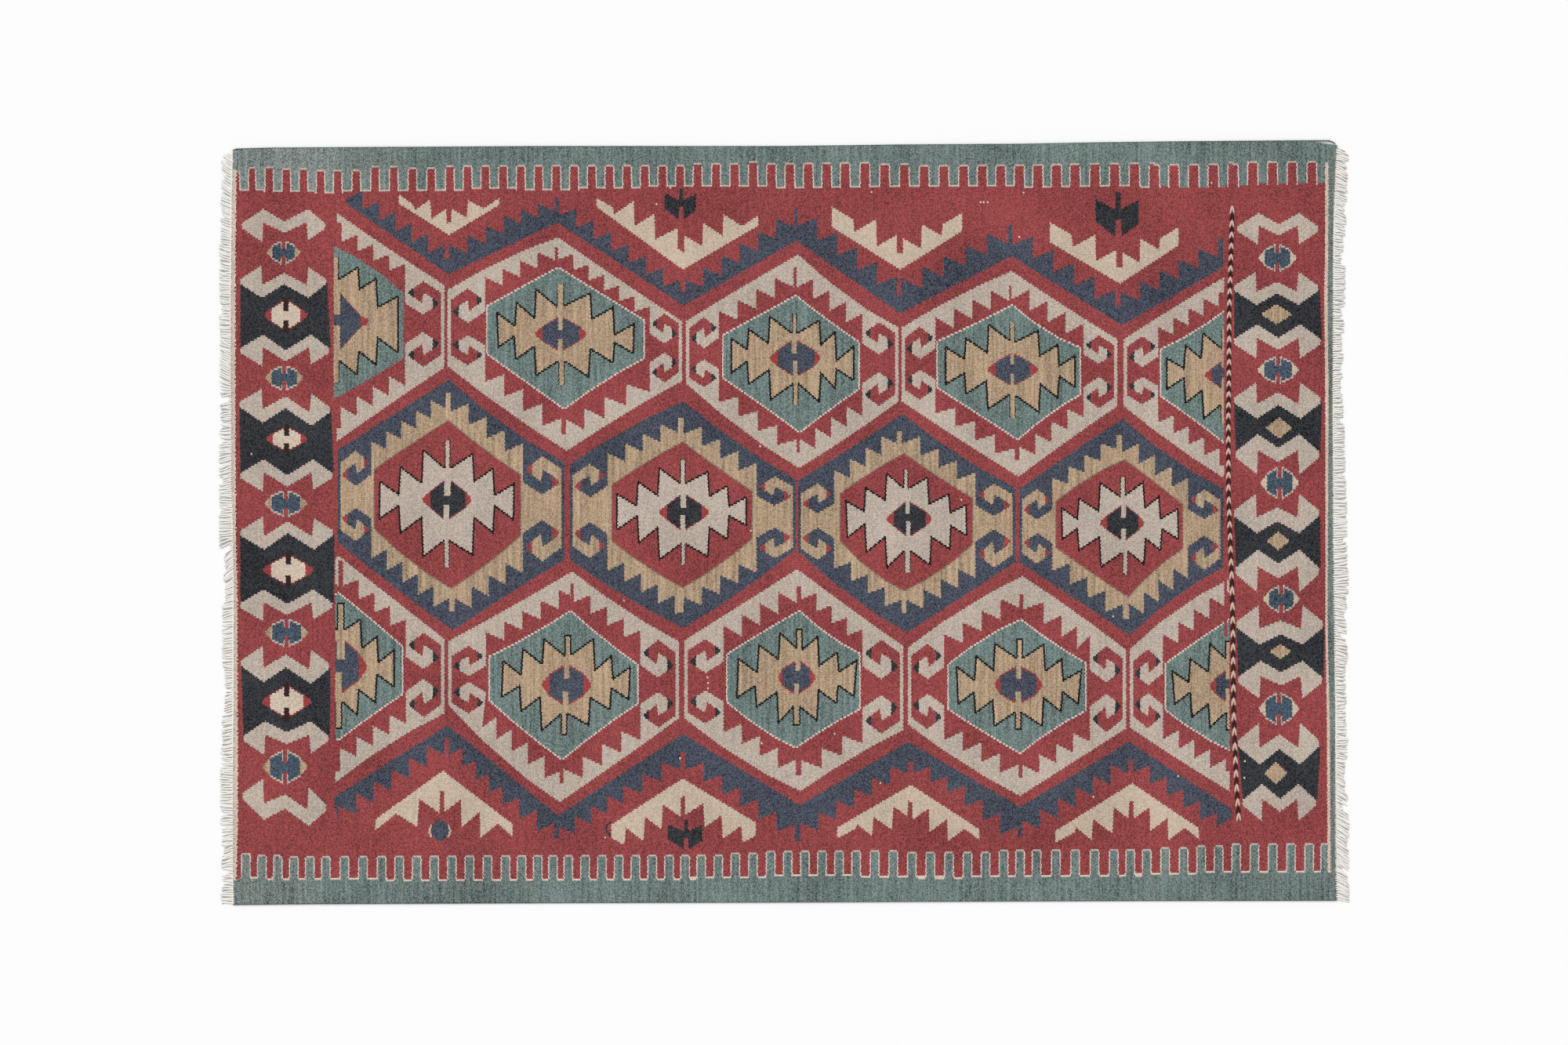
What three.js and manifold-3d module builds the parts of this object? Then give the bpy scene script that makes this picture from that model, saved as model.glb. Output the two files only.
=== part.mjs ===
// Flat-woven wool rug lying face up: one cloth with a twined line raised in its face, and a warp fringe
// at each end. Millimetres. X runs along the warps, Y across them, Z up from the floor.
import * as THREE from 'three';
import Module from 'manifold-3d';
import { mergeVertices } from 'three/addons/utils/BufferGeometryUtils.js';

const wasm = await Module();
wasm.setup();

// Driving dimensions of the cloth
const clothThickness = 3;
const edgeRounding = 0.7;
const pieceGap = 0.3;

// The twined row that locks the warps at each end, and the strands that hang from it
const stripWidth = 3;
const strandsPerEnd = 150;
const strandRootDepth = 1.6;
const strandRootWidth = 4.2;
const strandTipWidth = 1.6;
const strandRootHeight = 2.3;
const strandTipHeight = 1.1;
const strandBow = 1.2;
const strandSteps = 2;
const reachJitter = 1.6;
const sweepJitter = 0.9;
const stripEndMargin = 5;
const halfLengthWithFringe = 901;

// The twined line in the face: two yarns that turn about each other
const twineHalfWidth = 3.7;
const twineWaist = 0.72;
const twineHeight = 1.3;
const twineSunk = 1;
const twinePairLength = 20.7;
const stitchesPerPair = 2;
const stepsPerStitch = 2;

// How the four edges wander, as places along and across the rug
const backEdge = [
  { x: -874, y: 595.5 },
  { x: -812, y: 597 },
  { x: -625, y: 598 },
  { x: -375, y: 599.5 },
  { x: 0, y: 599.5 },
  { x: 188, y: 602 },
  { x: 375, y: 603 },
  { x: 500, y: 605.5 },
  { x: 625, y: 607 },
  { x: 850, y: 608.8 },
  { x: 867, y: 608.8 },
  { x: 876, y: 605.5 },
];
const frontEdge = [
  { x: -877.5, y: -608.8 },
  { x: -750, y: -607.5 },
  { x: -375, y: -606 },
  { x: -62, y: -605 },
  { x: 188, y: -603.8 },
  { x: 562, y: -602.5 },
  { x: 882, y: -602 },
];
const leftEdge = [
  { x: -877.3, y: -608.8 },
  { x: -878.3, y: -550 },
  { x: -878.3, y: -417 },
  { x: -877.1, y: -270 },
  { x: -877.1, y: -92 },
  { x: -879, y: 8 },
  { x: -881, y: 60 },
  { x: -881.9, y: 333 },
  { x: -880.4, y: 520 },
  { x: -878.8, y: 588 },
];
const rightEdge = [
  { x: 882, y: -602 },
  { x: 880.6, y: -560 },
  { x: 880.6, y: -290 },
  { x: 876.3, y: -30 },
  { x: 876.3, y: 130 },
  { x: 877.1, y: 458 },
  { x: 878.8, y: 520 },
  { x: 882, y: 598.5 },
];

// Where the strands end: how far they reach past the edge, and how far towards the back their tips lie
const leftFringe = [
  { y: -604, reach: 17, sweep: -3 },
  { y: -594, reach: 18, sweep: -9 },
  { y: -560, reach: 16, sweep: -2 },
  { y: -520, reach: 18, sweep: -1 },
  { y: -430, reach: 20, sweep: -1 },
  { y: -380, reach: 16, sweep: 0 },
  { y: -330, reach: 19, sweep: 0 },
  { y: -270, reach: 13, sweep: 0 },
  { y: -235, reach: 17, sweep: 3 },
  { y: -150, reach: 18, sweep: 2 },
  { y: -90, reach: 13, sweep: 2 },
  { y: -48, reach: 11, sweep: -8 },
  { y: -25, reach: 19, sweep: -3 },
  { y: 20, reach: 20, sweep: 0 },
  { y: 80, reach: 19, sweep: -3 },
  { y: 165, reach: 18, sweep: -2 },
  { y: 190, reach: 13, sweep: -3 },
  { y: 215, reach: 18, sweep: -1 },
  { y: 300, reach: 17, sweep: -1 },
  { y: 405, reach: 19, sweep: -2 },
  { y: 430, reach: 18, sweep: -8 },
  { y: 500, reach: 16, sweep: -12 },
  { y: 560, reach: 16, sweep: -14 },
  { y: 593, reach: 13, sweep: -14 },
];
const rightFringe = [
  { y: -597, reach: 17, sweep: -5 },
  { y: -585, reach: 21, sweep: -9 },
  { y: -560, reach: 15, sweep: -11 },
  { y: -490, reach: 18, sweep: -11 },
  { y: -460, reach: 13, sweep: -10 },
  { y: -410, reach: 13, sweep: -8 },
  { y: -360, reach: 16, sweep: -4 },
  { y: -300, reach: 15, sweep: -2 },
  { y: -190, reach: 16, sweep: -1 },
  { y: -100, reach: 20, sweep: -1 },
  { y: 20, reach: 20, sweep: 0 },
  { y: 140, reach: 16, sweep: 0 },
  { y: 215, reach: 12, sweep: 0 },
  { y: 340, reach: 13, sweep: 0 },
  { y: 390, reach: 17, sweep: -1 },
  { y: 430, reach: 13, sweep: -2 },
  { y: 480, reach: 16, sweep: -6 },
  { y: 575, reach: 18, sweep: -8 },
  { y: 593, reach: 12, sweep: -6 },
];

// The middle of the twined line, from its front end to its back end
const twineLine = [
  { x: 724.5, y: -468.6 },
  { x: 721.8, y: -430 },
  { x: 718.8, y: -369 },
  { x: 716.3, y: -294 },
  { x: 715.3, y: -167 },
  { x: 714.1, y: -107 },
  { x: 710.3, y: -12 },
  { x: 708.2, y: 54 },
  { x: 708, y: 170 },
  { x: 709, y: 240 },
  { x: 709.4, y: 342 },
  { x: 711.8, y: 412 },
  { x: 713.8, y: 486 },
  { x: 714.1, y: 503.4 },
];

const yarn = {
  cloth: new THREE.MeshStandardMaterial({ color: 0x9c4a48, roughness: 0.95, metalness: 0 }),
  fringe: new THREE.MeshStandardMaterial({ color: 0xe2ddd4, roughness: 0.95, metalness: 0 }),
};

// Straight-line reading of one column of a table against another
function readTable(rows, by, column, at) {
  const next = rows.findIndex((row) => row[by] > at);
  if (next === 0) return rows[0][column];
  if (next < 0) return rows[rows.length - 1][column];
  const a = rows[next - 1];
  const b = rows[next];
  return THREE.MathUtils.mapLinear(at, a[by], b[by], a[column], b[column]);
}

// Repeatable unevenness between -1 and 1 for the nth thing of a kind
function uneven(n, kind) {
  const wave = Math.sin(n * 12.9898 + kind * 78.233) * 43758.5453;
  return 2 * (wave - Math.floor(wave)) - 1;
}

function toSolid(geometry) {
  const bare = geometry.index ? geometry.toNonIndexed() : geometry.clone();
  bare.deleteAttribute('normal');
  bare.deleteAttribute('uv');
  const merged = mergeVertices(bare, 1e-4);
  return new wasm.Manifold(new wasm.Mesh({
    numProp: 3,
    vertProperties: new Float32Array(merged.attributes.position.array),
    triVerts: new Uint32Array(merged.index.array),
  }));
}

function toGeometry(solid) {
  const { vertProperties, triVerts } = solid.getMesh();
  const geometry = new THREE.BufferGeometry();
  geometry.setAttribute('position', new THREE.BufferAttribute(vertProperties, 3));
  geometry.setIndex(new THREE.BufferAttribute(triVerts, 1));
  geometry.computeVertexNormals();
  return geometry;
}

// Closed skin over a row of sections that all have the same number of corners
function loft(sections) {
  const corners = sections[0].length;
  const positions = sections.flat().flatMap((p) => [p.x, p.y, p.z]);
  const index = [];
  for (let s = 0; s < sections.length - 1; s += 1) {
    for (let c = 0; c < corners; c += 1) {
      const a = s * corners + c;
      const b = s * corners + ((c + 1) % corners);
      index.push(a, b, b + corners, a, b + corners, a + corners);
    }
  }
  const last = (sections.length - 1) * corners;
  for (let c = 1; c < corners - 1; c += 1) {
    index.push(0, c + 1, c);
    index.push(last, last + c, last + c + 1);
  }
  const geometry = new THREE.BufferGeometry();
  geometry.setAttribute('position', new THREE.Float32BufferAttribute(positions, 3));
  geometry.setIndex(index);
  return geometry;
}

// The whole rug without strands, with its long edges and ends softly rounded
function makeRug() {
  const ring = [
    ...frontEdge,
    ...rightEdge.slice(1),
    ...backEdge.slice().reverse(),
    ...leftEdge.slice(1).reverse(),
  ];
  const outline = new THREE.Shape(ring.map((p) => new THREE.Vector2(p.x, p.y)));
  const body = new THREE.ExtrudeGeometry(outline, {
    depth: clothThickness - 2 * edgeRounding,
    bevelThickness: edgeRounding,
    bevelSize: edgeRounding,
    bevelOffset: -edgeRounding,
    bevelSegments: 1,
  });
  body.translate(0, 0, edgeRounding);
  return toSolid(body);
}

// A tall wall over everything past a line that follows an end edge, set in by some distance
function beyond(edge, side, inset) {
  const far = 60;
  const overrun = 20;
  const line = edge.map((p) => new THREE.Vector2(p.x - side * inset, p.y));
  line[0].y -= overrun;
  line[line.length - 1].y += overrun;
  const outline = new THREE.Shape([
    ...line,
    new THREE.Vector2(line[line.length - 1].x + side * far, line[line.length - 1].y),
    new THREE.Vector2(line[0].x + side * far, line[0].y),
  ]);
  const wall = new THREE.ExtrudeGeometry(outline, { depth: clothThickness + 4, bevelEnabled: false });
  wall.translate(0, 0, -2);
  return toSolid(wall);
}

// One strand: three-sided, flat side on the floor, drawn out from the strip and swept to its tip
function makeStrand(root, side, reach, sweep) {
  const room = halfLengthWithFringe - Math.abs(root.x);
  const tip = Math.min(reach, room);
  const sections = [];
  for (let s = 0; s <= strandSteps; s += 1) {
    const t = s / strandSteps;
    const bow = strandBow * Math.sin(Math.PI * t);
    const x = root.x + side * THREE.MathUtils.lerp(-strandRootDepth, tip, t);
    const y = root.y + sweep * t * t + bow;
    const half = THREE.MathUtils.lerp(strandRootWidth, strandTipWidth, t) / 2;
    const height = THREE.MathUtils.lerp(strandRootHeight, strandTipHeight, t);
    sections.push([
      new THREE.Vector3(x, y - side * half, 0),
      new THREE.Vector3(x, y + side * half, 0),
      new THREE.Vector3(x, y, height),
    ]);
  }
  return toSolid(loft(sections));
}

function makeFringe(strip, edge, fringe, side) {
  const low = edge[0].y + stripEndMargin;
  const high = edge[edge.length - 1].y - stripEndMargin;
  const strands = [];
  for (let n = 0; n < strandsPerEnd; n += 1) {
    const y = THREE.MathUtils.lerp(low, high, n / (strandsPerEnd - 1));
    const reach = readTable(fringe, 'y', 'reach', y) + reachJitter * uneven(n, side);
    const sweep = readTable(fringe, 'y', 'sweep', y) + sweepJitter * uneven(n, side + 4);
    const x = readTable(edge, 'y', 'x', y);
    strands.push(makeStrand({ x, y }, side, reach, sweep));
  }
  return wasm.Manifold.union([strip, ...strands]);
}

// The twined line: a low ridge that swells at each stitch and is sunk a little into the cloth
function makeTwine() {
  const length = twineLine[twineLine.length - 1].y - twineLine[0].y;
  const stitches = Math.round((length / twinePairLength) * stitchesPerPair);
  const steps = stitches * stepsPerStitch;
  const base = clothThickness - twineSunk;
  const sections = [];
  for (let s = 0; s <= steps; s += 1) {
    const y = twineLine[0].y + (length * s) / steps;
    const x = readTable(twineLine, 'y', 'x', y);
    const swell = s % stepsPerStitch ? 1 : twineWaist;
    const half = twineHalfWidth * swell;
    const top = clothThickness + twineHeight * swell;
    sections.push([
      new THREE.Vector3(x + half, y, base),
      new THREE.Vector3(x + half / 2, y, top),
      new THREE.Vector3(x - half / 2, y, top),
      new THREE.Vector3(x - half, y, base),
    ]);
  }
  return toSolid(loft(sections.reverse()));
}

function named(name, solid, material) {
  const mesh = new THREE.Mesh(toGeometry(solid), material);
  mesh.name = name;
  return mesh;
}

const rug = makeRug();
const leftStrip = rug.intersect(beyond(leftEdge, -1, stripWidth));
const rightStrip = rug.intersect(beyond(rightEdge, 1, stripWidth));
const cloth = rug
  .subtract(beyond(leftEdge, -1, stripWidth + pieceGap))
  .subtract(beyond(rightEdge, 1, stripWidth + pieceGap))
  .add(makeTwine());

const kilim = new THREE.Group();
kilim.add(named('kilim_cloth', cloth, yarn.cloth));
kilim.add(named('fringe_left', makeFringe(leftStrip, leftEdge, leftFringe, -1), yarn.fringe));
kilim.add(named('fringe_right', makeFringe(rightStrip, rightEdge, rightFringe, 1), yarn.fringe));

export default kilim;
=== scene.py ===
# Turkish kilim: a flat-woven wool rug that lies face up, with a warp fringe at each end
import bpy
import math
import numpy as np
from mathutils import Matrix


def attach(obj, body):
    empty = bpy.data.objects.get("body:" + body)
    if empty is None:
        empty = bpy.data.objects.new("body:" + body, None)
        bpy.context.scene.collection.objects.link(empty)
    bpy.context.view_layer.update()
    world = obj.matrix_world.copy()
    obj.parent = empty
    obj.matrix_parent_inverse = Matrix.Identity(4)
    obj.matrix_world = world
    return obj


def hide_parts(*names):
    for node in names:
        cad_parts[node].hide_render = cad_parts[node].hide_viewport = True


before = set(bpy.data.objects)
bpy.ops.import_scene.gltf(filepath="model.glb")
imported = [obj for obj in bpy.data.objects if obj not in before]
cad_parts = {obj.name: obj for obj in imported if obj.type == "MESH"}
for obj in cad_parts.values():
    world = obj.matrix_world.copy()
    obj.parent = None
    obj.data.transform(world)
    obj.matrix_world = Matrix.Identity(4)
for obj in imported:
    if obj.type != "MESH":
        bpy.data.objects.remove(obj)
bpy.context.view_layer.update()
scene = bpy.context.scene
millimetres = 1000  # in a metre

# Camera and light
view = dict(height=6.0, frameWidth=2.5, sensor=36.0, clip=50)

cameraData = bpy.data.cameras.new("overhead_camera")
cameraData.sensor_width = view["sensor"]
cameraData.lens = view["sensor"] * view["height"] / view["frameWidth"]
cameraData.clip_end = view["clip"]
camera = bpy.data.objects.new("overhead_camera", cameraData)
camera.location = (0, 0, view["height"])
scene.collection.objects.link(camera)
scene.camera = camera
scene.view_settings.view_transform = "Standard"

light = dict(sky=0.62, key=1.62, keySpread=35, keyTilt=(-32, -28))  # spread and tilt in degrees

world = bpy.data.worlds.new("studio")
scene.world = world
world.use_nodes = True
sky = world.node_tree.nodes["Background"]
sky.inputs["Color"].default_value = (1, 1, 1, 1)
sky.inputs["Strength"].default_value = light["sky"]
keyData = bpy.data.lights.new("soft_key", "SUN")
keyData.energy = light["key"]
keyData.angle = math.radians(light["keySpread"])
key = bpy.data.objects.new("soft_key", keyData)
key.rotation_euler = (math.radians(light["keyTilt"][0]), math.radians(light["keyTilt"][1]), 0)
scene.collection.objects.link(key)


class Wire:  # a socket that can stand in a sum
    def __init__(self, bench, socket):
        self.bench = bench
        self.socket = socket

    def maths(self, operation, *values):
        return self.bench.node("ShaderNodeMath", dict(operation=operation), dict(enumerate(values)))

    def floor(self):
        return self.maths("FLOOR", self)

    def fract(self):
        return self.maths("FRACT", self)

    def sine(self):
        return self.maths("SINE", self)

    def __add__(self, other):
        return self.maths("ADD", self, other)

    def __radd__(self, other):
        return self.maths("ADD", other, self)

    def __sub__(self, other):
        return self.maths("SUBTRACT", self, other)

    def __rsub__(self, other):
        return self.maths("SUBTRACT", other, self)

    def __mul__(self, other):
        return self.maths("MULTIPLY", self, other)

    def __rmul__(self, other):
        return self.maths("MULTIPLY", other, self)


class Bench:  # one material's nodes
    def __init__(self, name):
        self.material = bpy.data.materials.new(name)
        self.material.use_nodes = True
        self.tree = self.material.node_tree
        self.shader = self.tree.nodes["Principled BSDF"]

    def node(self, kind, settings={}, sockets={}, out=0):
        n = self.tree.nodes.new(kind)
        for name, value in settings.items():
            setattr(n, name, value)
        for name, value in sockets.items():
            self.plug(n.inputs[name], value)
        return Wire(self, n.outputs[out])

    def split(self, vector):  # a vector's three numbers
        first = self.node("ShaderNodeSeparateXYZ", {}, {0: vector})
        return [Wire(self, out) for out in first.socket.node.outputs]

    def vector(self, operation, sockets):
        return self.node("ShaderNodeVectorMath", dict(operation=operation), sockets)

    def noise(self, place, scale, detail, roughness=0.5, out=0):
        sockets = {"Vector": place, "Scale": scale, "Detail": detail, "Roughness": roughness}
        return self.node("ShaderNodeTexNoise", {}, sockets, out=out)

    def stretchedNoise(self, place, size, detail=2.0, out=0):
        scaled = self.vector("MULTIPLY", {0: place, 1: tuple(1 / a for a in size)})
        return self.noise(scaled, 1.0, detail, 0.6, out)

    def bump(self, height, look):
        sockets = {"Height": height, "Strength": look["bump"], "Distance": look["depth"]}
        return self.node("ShaderNodeBump", {}, sockets)

    def plug(self, socket, value):
        if isinstance(value, Wire):
            self.tree.links.new(value.socket, socket)
        else:
            socket.default_value = value

    def finish(self, **sockets):
        for name, value in sockets.items():
            self.plug(self.shader.inputs[name.replace("_", " ")], value)
        return self.material


def linear(colour, alpha=1.0):  # from the 0 to 255 of a paint chart
    shares = [c / 255 for c in colour]
    return tuple(s / 12.92 if s < 0.039 else ((s + 0.055) / 1.055) ** 2.4 for s in shares) + (alpha,)


def box(left, right, top, foot):
    return [(left, top), (right, top), (right, foot), (left, foot)]


# Floor
ground = dict(half=9, grain=3.0, tones=((252, 252, 252), (253, 253, 253)), roughness=0.9)

bench = Bench("pale_studio_floor")
grain = bench.node("ShaderNodeTexNoise", {}, {"Scale": ground["grain"], "Detail": 2.0})
tones = [linear(tone) for tone in ground["tones"]]
paint = bench.node("ShaderNodeMix", dict(data_type="RGBA"), {0: grain, 6: tones[0], 7: tones[1]}, out=2)
corners = box(-ground["half"], ground["half"], -ground["half"], ground["half"])
floorMesh = bpy.data.meshes.new("studio_floor")
floorMesh.from_pydata([(x, y, 0) for x, y in corners], [], [(0, 1, 2, 3)])
floorMesh.materials.append(bench.finish(Base_Color=paint, Roughness=ground["roughness"]))
floor = bpy.data.objects.new("studio_floor", floorMesh)
scene.collection.objects.link(floor)
print("camera, light and floor set")

# The outline of the rug, in metres
backEdge = [(-0.879, 0.5935), (-0.872, 0.5955), (-0.812, 0.597), (-0.625, 0.598), (-0.375, 0.5995),
    (0, 0.5995), (0.188, 0.602), (0.375, 0.603), (0.5, 0.6055), (0.625, 0.607), (0.85, 0.6088),
    (0.869, 0.6088), (0.876, 0.606), (0.8825, 0.6005)]
frontEdge = [(-0.8775, -0.6088), (-0.75, -0.6075), (-0.375, -0.606), (-0.062, -0.605), (0.188, -0.6038),
    (0.562, -0.6025), (0.882, -0.602)]
leftEdge = [(-0.8773, -0.6088), (-0.8783, -0.55), (-0.8783, -0.417), (-0.8771, -0.27), (-0.8771, -0.092),
    (-0.879, 0.008), (-0.881, 0.06), (-0.8819, 0.333), (-0.8804, 0.52), (-0.8788, 0.588)]
rightEdge = [(0.882, -0.602), (0.8806, -0.56), (0.8806, -0.29), (0.8763, -0.03), (0.8763, 0.13),
    (0.8771, 0.458), (0.8788, 0.52), (0.882, 0.5985)]


def along(points, x):  # straight-line reading of a table
    return np.interp(x, [p[0] for p in points], [p[1] for p in points])


def sideEdge(points, y):  # the end edges are listed from front to back
    return np.interp(y, [p[1] for p in points], [p[0] for p in points])


# The cloth, in metres; the bake's picture spans a square of bakeSpan
cloth = dict(ribs=412, thickness=0.003, ribCrown=0.00002, ribValley=0.00052, ribOverlap=0.08,
    longestRun=0.055, endInset=0.0004, underside=0.0001, bakeSpan=1.9)
# The weaver's chart: a step is so many metres, and its heights run from the back edge to the front
chart = dict(step=0.00125, centre=(1000.0, 666.5), columns=(294.0, 1706.0), weft=0.5, stagger=0.3, wander=0.2,
    ribPitch=2.36, padAcross=2, padDown=8, seed=4)

# colour, then how strong its speckle, its streaks across the warps and its slow patches are
yarns = dict(red=((143, 66, 67), 1.15, 0.36, 0.6), brick=((152, 62, 64), 0.9, 0.3, 0.4),
    teal=((107, 123, 120), 1.15, 1.4, 0.5), border=((107, 121, 118), 1.2, 1.5, 0.7),
    ivory=((184, 170, 158), 0.62, 0.34, 0.35), cream=((195, 177, 158), 0.5, 0.22, 0.4),
    tan=((172, 148, 122), 0.78, 1.4, 0.3), blue=((69, 74, 87), 1.6, 0.4, 0.7),
    black=((49, 50, 54), 2.0, 0.6, 1.0), seam=((20, 20, 22), 0.6, 0.2, 0.2),
    ash=((128, 112, 98), 0.6, 0.3, 0.2), pale=((210, 193, 181), 0.5, 0.2, 0.2),
    umber=((90, 44, 44), 0.6, 0.2, 0.2), bark=((50, 33, 31), 0.5, 0.2, 0.2),
    # the hem yarn is the border's own grey-green, darkened by painted shade of the rounded selvedge
    straw=((208, 184, 169), 0.6, 0.2, 0.3), hemPaintedShade=((92, 103, 100), 1.0, 0.6, 0.8),
    warp=((247, 244, 238), 0.5, 0.2, 0.2), knot=((250, 241, 231), 0.5, 0.2, 0.2),
    # the under-warp grey is painted shade that shows in the gaps between the fringe strands
    underWarpPaintedShade=((196, 193, 188), 0.5, 0.2, 0.2), olive=((195, 186, 170), 0.6, 0.2, 0.3),
    oliveShade=((158, 152, 132), 0.5, 0.2, 0.2), slate=((111, 120, 114), 1.2, 1.5, 0.7),
    petrol=((66, 80, 93), 1.6, 0.4, 0.7), bone=((203, 185, 168), 0.5, 0.2, 0.3),
    wine=((116, 46, 48), 0.6, 0.2, 0.2), mist=((127, 136, 133), 1.2, 1.5, 0.4),
    haze=((117, 128, 124), 1.2, 1.5, 0.5))
yarnNames = list(yarns)


def xOf(column):
    return (column - chart["centre"][0]) * chart["step"]


def yOf(height):
    return (chart["centre"][1] - height) * chart["step"]


def heightOf(y):
    return chart["centre"][1] - y / chart["step"]


class Chart:  # a grid of yarns, one row for each rib, drawn over from the ground up
    def __init__(self):
        ribs = cloth["ribs"]
        left, right = chart["columns"]
        self.columns = np.arange(left, right, chart["weft"]) + chart["weft"] / 2
        x = xOf(self.columns)
        back, front = along(backEdge, x), along(frontEdge, x)
        share = ((np.arange(ribs) + 0.5) / ribs)[:, None]
        self.y = heightOf(front + (back - front) * share)
        chance = np.random.default_rng(chart["seed"])
        stagger = np.where(np.arange(ribs) % 2 == 0, 1.0, -1.0)[:, None] * chart["stagger"]
        self.x = self.columns + stagger + chance.uniform(-1, 1, (ribs, 1)) * chart["wander"]
        self.rowY = self.y.mean(axis=1)
        self.cells = np.full(self.y.shape, yarnNames.index("red"), np.uint8)

    def window(self, points, margin):
        xs, ys = [p[0] for p in points], [p[1] for p in points]
        across, down = margin + chart["padAcross"], margin + chart["padDown"]
        a, b = np.searchsorted(self.columns, (min(xs) - across, max(xs) + across))
        rows = np.nonzero((self.rowY > min(ys) - down) & (self.rowY < max(ys) + down))[0]
        return (slice(rows[0], rows[-1] + 1), slice(a, b)) if len(rows) and b > a else None

    def lay(self, yarn, where, hit, within):
        if within:
            x = self.x[where]
            hit = hit & (x >= within[0]) & (x <= within[1])
        self.cells[where][hit] = yarnNames.index(yarn)

    def fill(self, yarn, points, within=None):
        where = self.window(points, 0)
        if where is None:
            return
        x, y = self.x[where], self.y[where]
        hit = np.zeros(x.shape, bool)
        for (ax, ay), (bx, by) in zip(points, points[1:] + points[:1]):
            if ay != by:
                hit ^= (y > min(ay, by)) & (y <= max(ay, by)) & (x < ax + (y - ay) * (bx - ax) / (by - ay))
        self.lay(yarn, where, hit, within)

    def line(self, yarn, points, width, within=None):  # unbroken from rib to rib, however thin
        for (ax, ay), (bx, by) in zip(points[:-1], points[1:]):
            where = self.window([(ax, ay), (bx, by)], width)
            dx, dy = bx - ax, by - ay
            length = dx ** 2 + dy ** 2
            if where is None or length == 0:
                continue
            x, y = self.x[where] - ax, self.y[where] - ay
            share = np.clip((x * dx + y * dy) / length, 0, 1)
            hit = np.hypot(x - share * dx, y - share * dy) < width / 2
            if abs(dx) > chart["weft"]:
                beside = (share > 0) & (share < 1) & (np.abs(x) < abs(dx)) & (np.sign(x) == np.sign(dx))
                hit |= beside & (np.abs(y - x * dy / dx) < chart["ribPitch"] / 2)
            self.lay(yarn, where, hit, within)


def mirrored(x, outline):  # the same on both sides of x, from half widths with their heights
    return [(x - half, y) for half, y in outline] + [(x + half, y) for half, y in outline[::-1]]


def fitted(motif, left, right, top, foot):  # a motif is drawn in shares of its own box
    return [(left + (right - left) * u, top + (foot - top) * v) for u, v in motif]


def teeth(x0, y0, x1, y1, count, depth, spread=0):  # from a shoulder to the middle; the last may be cut short
    points = []
    for i in range(math.ceil(count)):
        a, b = i / count, min((i + 1) / count, 1)
        fall = depth * (b - a) * count
        a, b = (s + spread * s * (1 - s) for s in (a, b))
        points += [(x0 + (x1 - x0) * a, y0 + (y1 - y0) * a), (x0 + (x1 - x0) * b, y0 + (y1 - y0) * b + fall)]
    return points


# The curled horn beside each column: share of the way from the side stripe, and from its crown to its waist
horn = [(0, 0.34), (0.49, 0), (0.755, 0.19), (0.765, 0.48), (0.535, 0.66), (0.49, 0.35), (0.24, 0.5),
    (0.23, 0.82), (0.505, 1), (1, 0.67)]
hornOuterTip = [(0.755, 0.19), (0.91, 0.31), (0.91, 0.37), (0.765, 0.5)]
hornInnerTip = [(0.24, 0.48), (0.065, 0.66), (0.065, 0.71), (0.23, 0.84)]

lightPanel = dict(stripe=4.2, outer="ivory", toothed="red", tip="black", rim="pale", rimWidth=3.2,
    inner="teal", star="tan", starRim="seam", starRimWidth=2.4, spikeRim=2.0, capped=True, eyeRim="brick",
    eyeRimWidth=2.5, eye="blue", eyeSide=0.24, outline="")
firstRow = dict(lightPanel, spikeRim=1.2, capped=False, eyeRimWidth=1.5, eyeSide=0.21)
darkPanel = dict(stripe=3.6, outer="blue", toothed="tan", tip="red", rim="ash", rimWidth=2.4, inner="red",
    star="ivory", starRim="seam", starRimWidth=2.2, spikeRim=1.1, capped=False, eyeRim="brick",
    eyeRimWidth=1.5, eye="black", eyeSide=0.2, outline="")
redColumn = dict(eyeRim="cream", eyeRimWidth=1.2, eye="petrol", star="red", eyeSide=0.26, outline="ivory",
    slot=2.6, body=0.68, slotDeep=0.34)
blackColumn = dict(redColumn, eyeRim="wine", eyeRimWidth=2.2, eye="bone", star="bark", eyeSide=0.2,
    outline="", tips="brick", slot=3.4)


def slope(a, b, bow):  # a hand-woven slope from a corner to the next, a little out of true
    return [a] + [(a[0] + (b[0] - a[0]) * s, a[1] + (b[1] - a[1]) * s + bow) for s in (0.3, 0.7)]


def sixSides(corners, bows):  # bows: how far down each slope strays, the two upper ones first
    topX, topY, leftX, leftTop, leftLow, rightX, rightTop, rightLow, footX, footY = corners
    top, rightHigh, rightFoot = (topX, topY), (rightX, rightTop), (rightX, rightLow)
    foot, leftFoot, leftHigh = (footX, footY), (leftX, leftLow), (leftX, leftTop)
    rightSide = slope(top, rightHigh, bows[1]) + [rightHigh] + slope(rightFoot, foot, bows[3])
    return rightSide + slope(foot, leftFoot, bows[2]) + [leftFoot] + slope(leftHigh, top, bows[0])


def quarters(t, spread, shift):  # four toothed edges, with the spikes at the top and foot between them
    (leftX, leftTop, leftLow, rightX, rightTop, rightLow), up, low, counts, depths = t
    upLeft = teeth(leftX, leftTop, up[0], up[2], counts[0], depths[0], spread[0])
    upRight = teeth(rightX, rightTop + shift[0], up[1], up[2] + shift[0], counts[1], depths[1], spread[1])
    lowLeft = teeth(leftX + shift[1], leftLow, low[0], low[2], counts[2], -depths[2], spread[2])
    lowRight = teeth(rightX, rightLow, low[1], low[2], counts[3], -depths[3], spread[3])
    upSpike, lowSpike = [(up[0], up[3]), (up[1], up[3])], [(low[1], low[3]), (low[0], low[3])]
    return upLeft + upSpike + upRight[::-1], lowRight + lowSpike + lowLeft[::-1]


starCrest = dict(width=2, follow=0.8)  # follow: how far the middle crest follows its dip


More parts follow.
